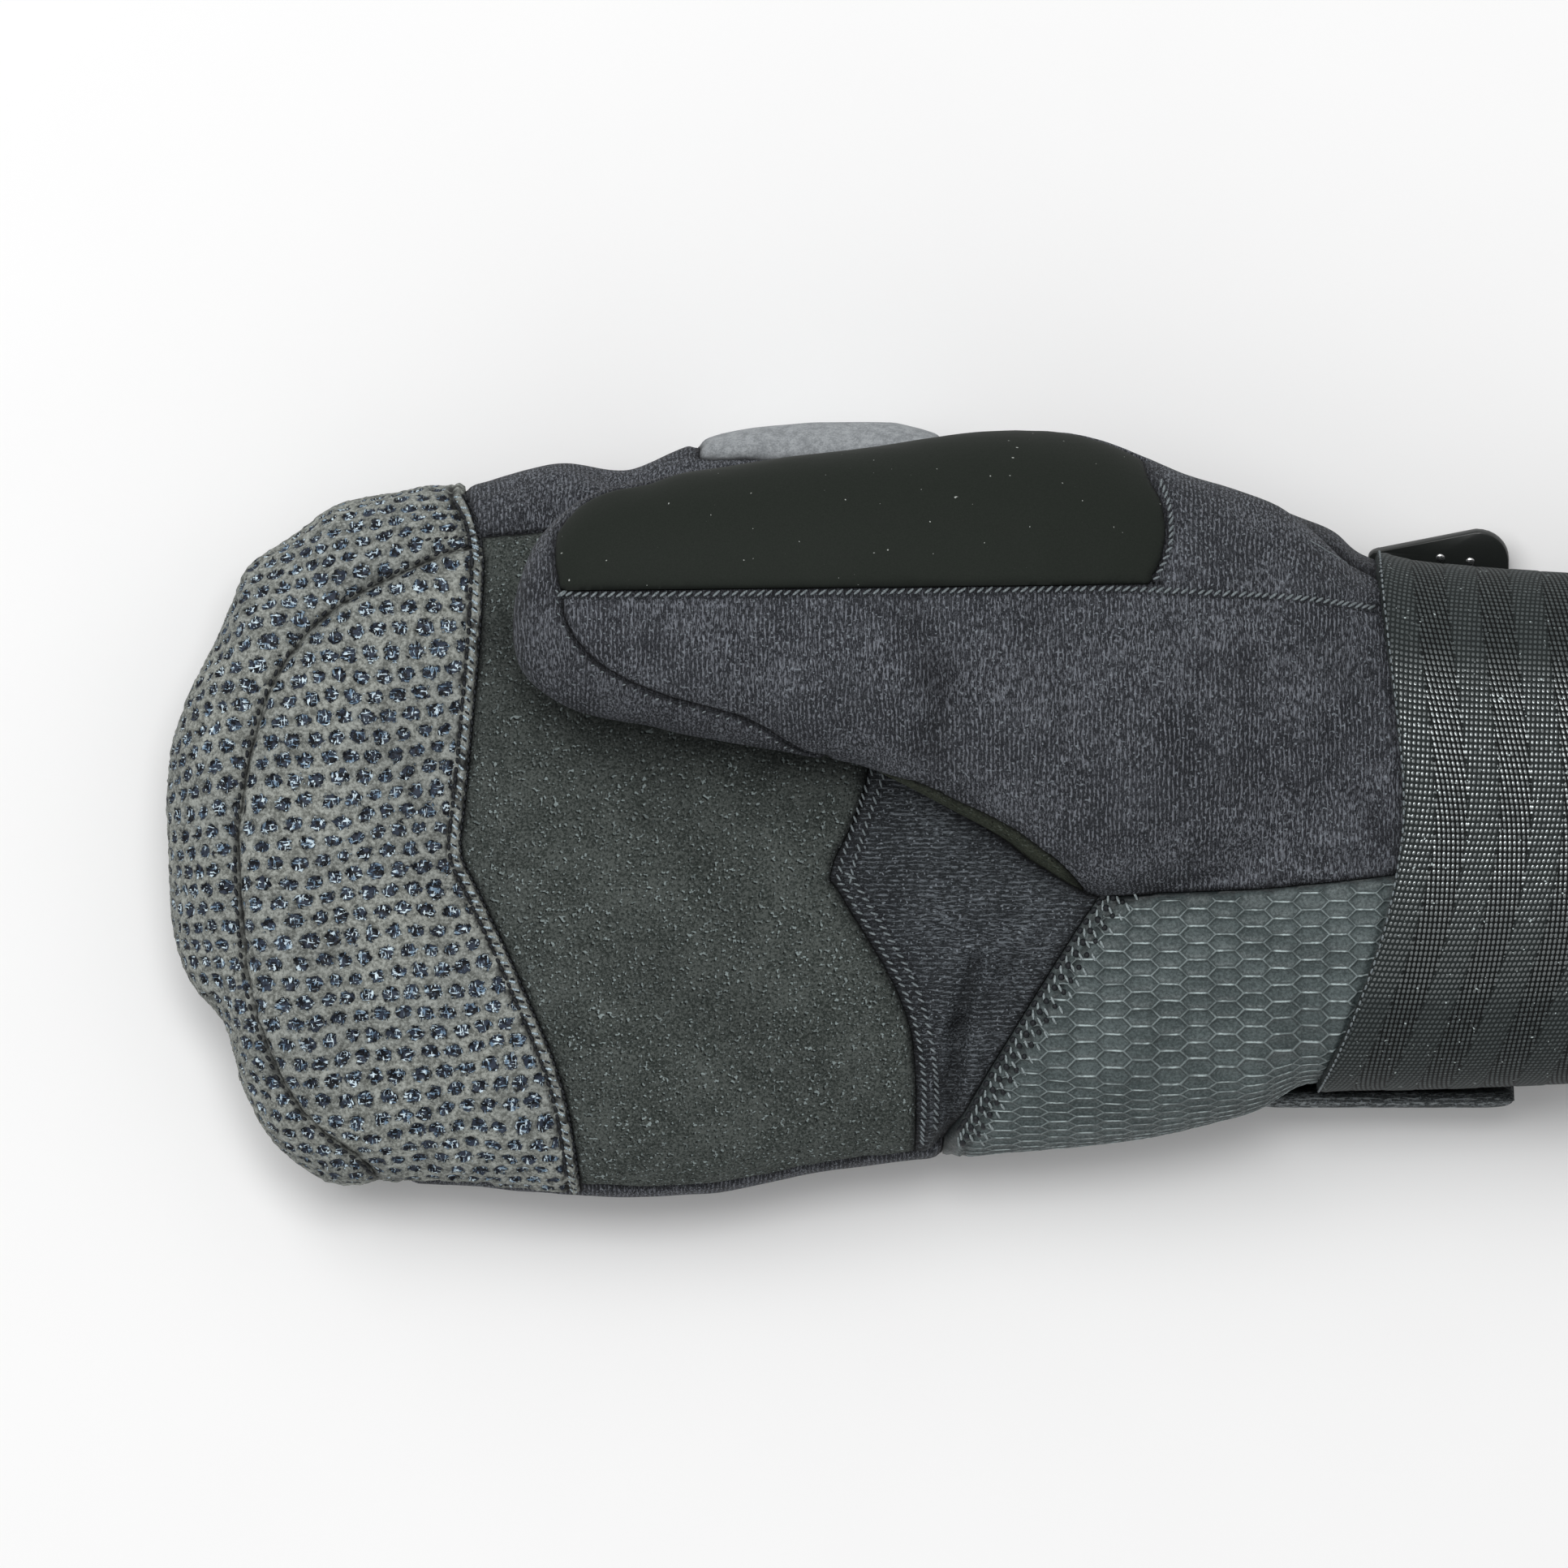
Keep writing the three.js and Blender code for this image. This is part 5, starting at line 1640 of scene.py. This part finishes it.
def build_stitches(outer):
    on_thumb = [name for name, _ in THUMB_PANELS] + ["thumb_shell"]
    skins = {True: [], False: []}
    for name, surface in outer.items():
        if name != "cuff":
            skins[name in on_thumb].append((surface.points, surface.faces))
    rows = {}
    for thumb, table in ((False, HAND_STITCHES), (True, THUMB_STITCHES)):
        tree = Surface(*joined(skins[thumb])).tree()
        for number, (node, thread, curve, offset, pitch, length, radius, slant, lift) in enumerate(table):
            row = stitch_row(tree, curve, offset, pitch, length, radius, slant, lift, 41 + 2 * number)
            rows.setdefault((node, thread.name), (thread, []))[1].append(row)
    angles = np.linspace(0, 2 * math.pi, 400)
    hem = hand_ring([HEM_SEAM_X] + row_at(HAND, HEM_SEAM_X), angles, -HEM_STITCHES["sunk"])
    hem_row = ring_row(hem, HEM_STITCHES["pitch"], HEM_STITCHES["length"], HEM_STITCHES["radius"])
    rows[("cuff", "dark_thread")] = (dark_thread, [hem_row])
    for (node, thread_name), (thread, meshes) in rows.items():
        add_piece("%s_%s" % (node, thread_name), joined(meshes), thread, node, replaces=False)


# Floor, light and camera

FLOOR = {"reach": 6000.0, "z": -0.05, "tones": ((0.90, 0.90, 0.90), (0.92, 0.92, 0.92))}
STUDIO_LIGHT = 0.53

# Name, place and size in metres, and power in watts
LIGHTS = [("key", (-0.6, 0.65, 1.95), 1.3, 20), ("over", (0.1, 0.45, 2.3), 0.6, 10.5)]

# What the photograph's middle shows, its width at the mitten's middle height, and how high the camera hangs
CAMERA = {"middle": (-37.1, 4.4), "width": 266.6, "level": 40.0, "height": 12000.0, "sensor": 36, "clip": 40}


def add_stage():
    reach = FLOOR["reach"]
    corners = np.array([(x, y, FLOOR["z"]) for x, y in ((-reach, -reach), (reach, -reach), (reach, reach),
                                                        (-reach, reach))])
    look = Look("floor", Roughness=0.9)
    look.color(look.mix(look.noise(look.place(), 40.0), *FLOOR["tones"]))
    to_object("floor", corners, [(0, 1, 2, 3)], look.material)
    world = bpy.data.worlds.new("studio")
    world.use_nodes = True
    background = world.node_tree.nodes["Background"]
    background.inputs["Color"].default_value = (1, 1, 1, 1)
    background.inputs["Strength"].default_value = STUDIO_LIGHT
    bpy.context.scene.world = world
    for name, place, size, power in LIGHTS:
        light = bpy.data.lights.new(name, "AREA")
        light.size = size
        light.energy = power
        obj = bpy.data.objects.new(name, light)
        obj.location = place
        obj.rotation_euler = (-Vector(place)).to_track_quat("-Z", "Y").to_euler()
        bpy.context.scene.collection.objects.link(obj)


def add_camera():
    camera = bpy.data.cameras.new("camera")
    camera.sensor_width = CAMERA["sensor"]
    camera.lens = CAMERA["sensor"] * (CAMERA["height"] - CAMERA["level"]) / CAMERA["width"]
    camera.clip_end = CAMERA["clip"]
    obj = bpy.data.objects.new("camera", camera)
    obj.location = Vector((*CAMERA["middle"], CAMERA["height"])) * MM
    bpy.context.scene.collection.objects.link(obj)
    bpy.context.scene.camera = obj
    bpy.context.scene.view_settings.view_transform = "Standard"


outer_faces = build_panels()
build_strap()
build_strap_end()
build_tab()
build_stitches(outer_faces)
add_stage()
add_camera()
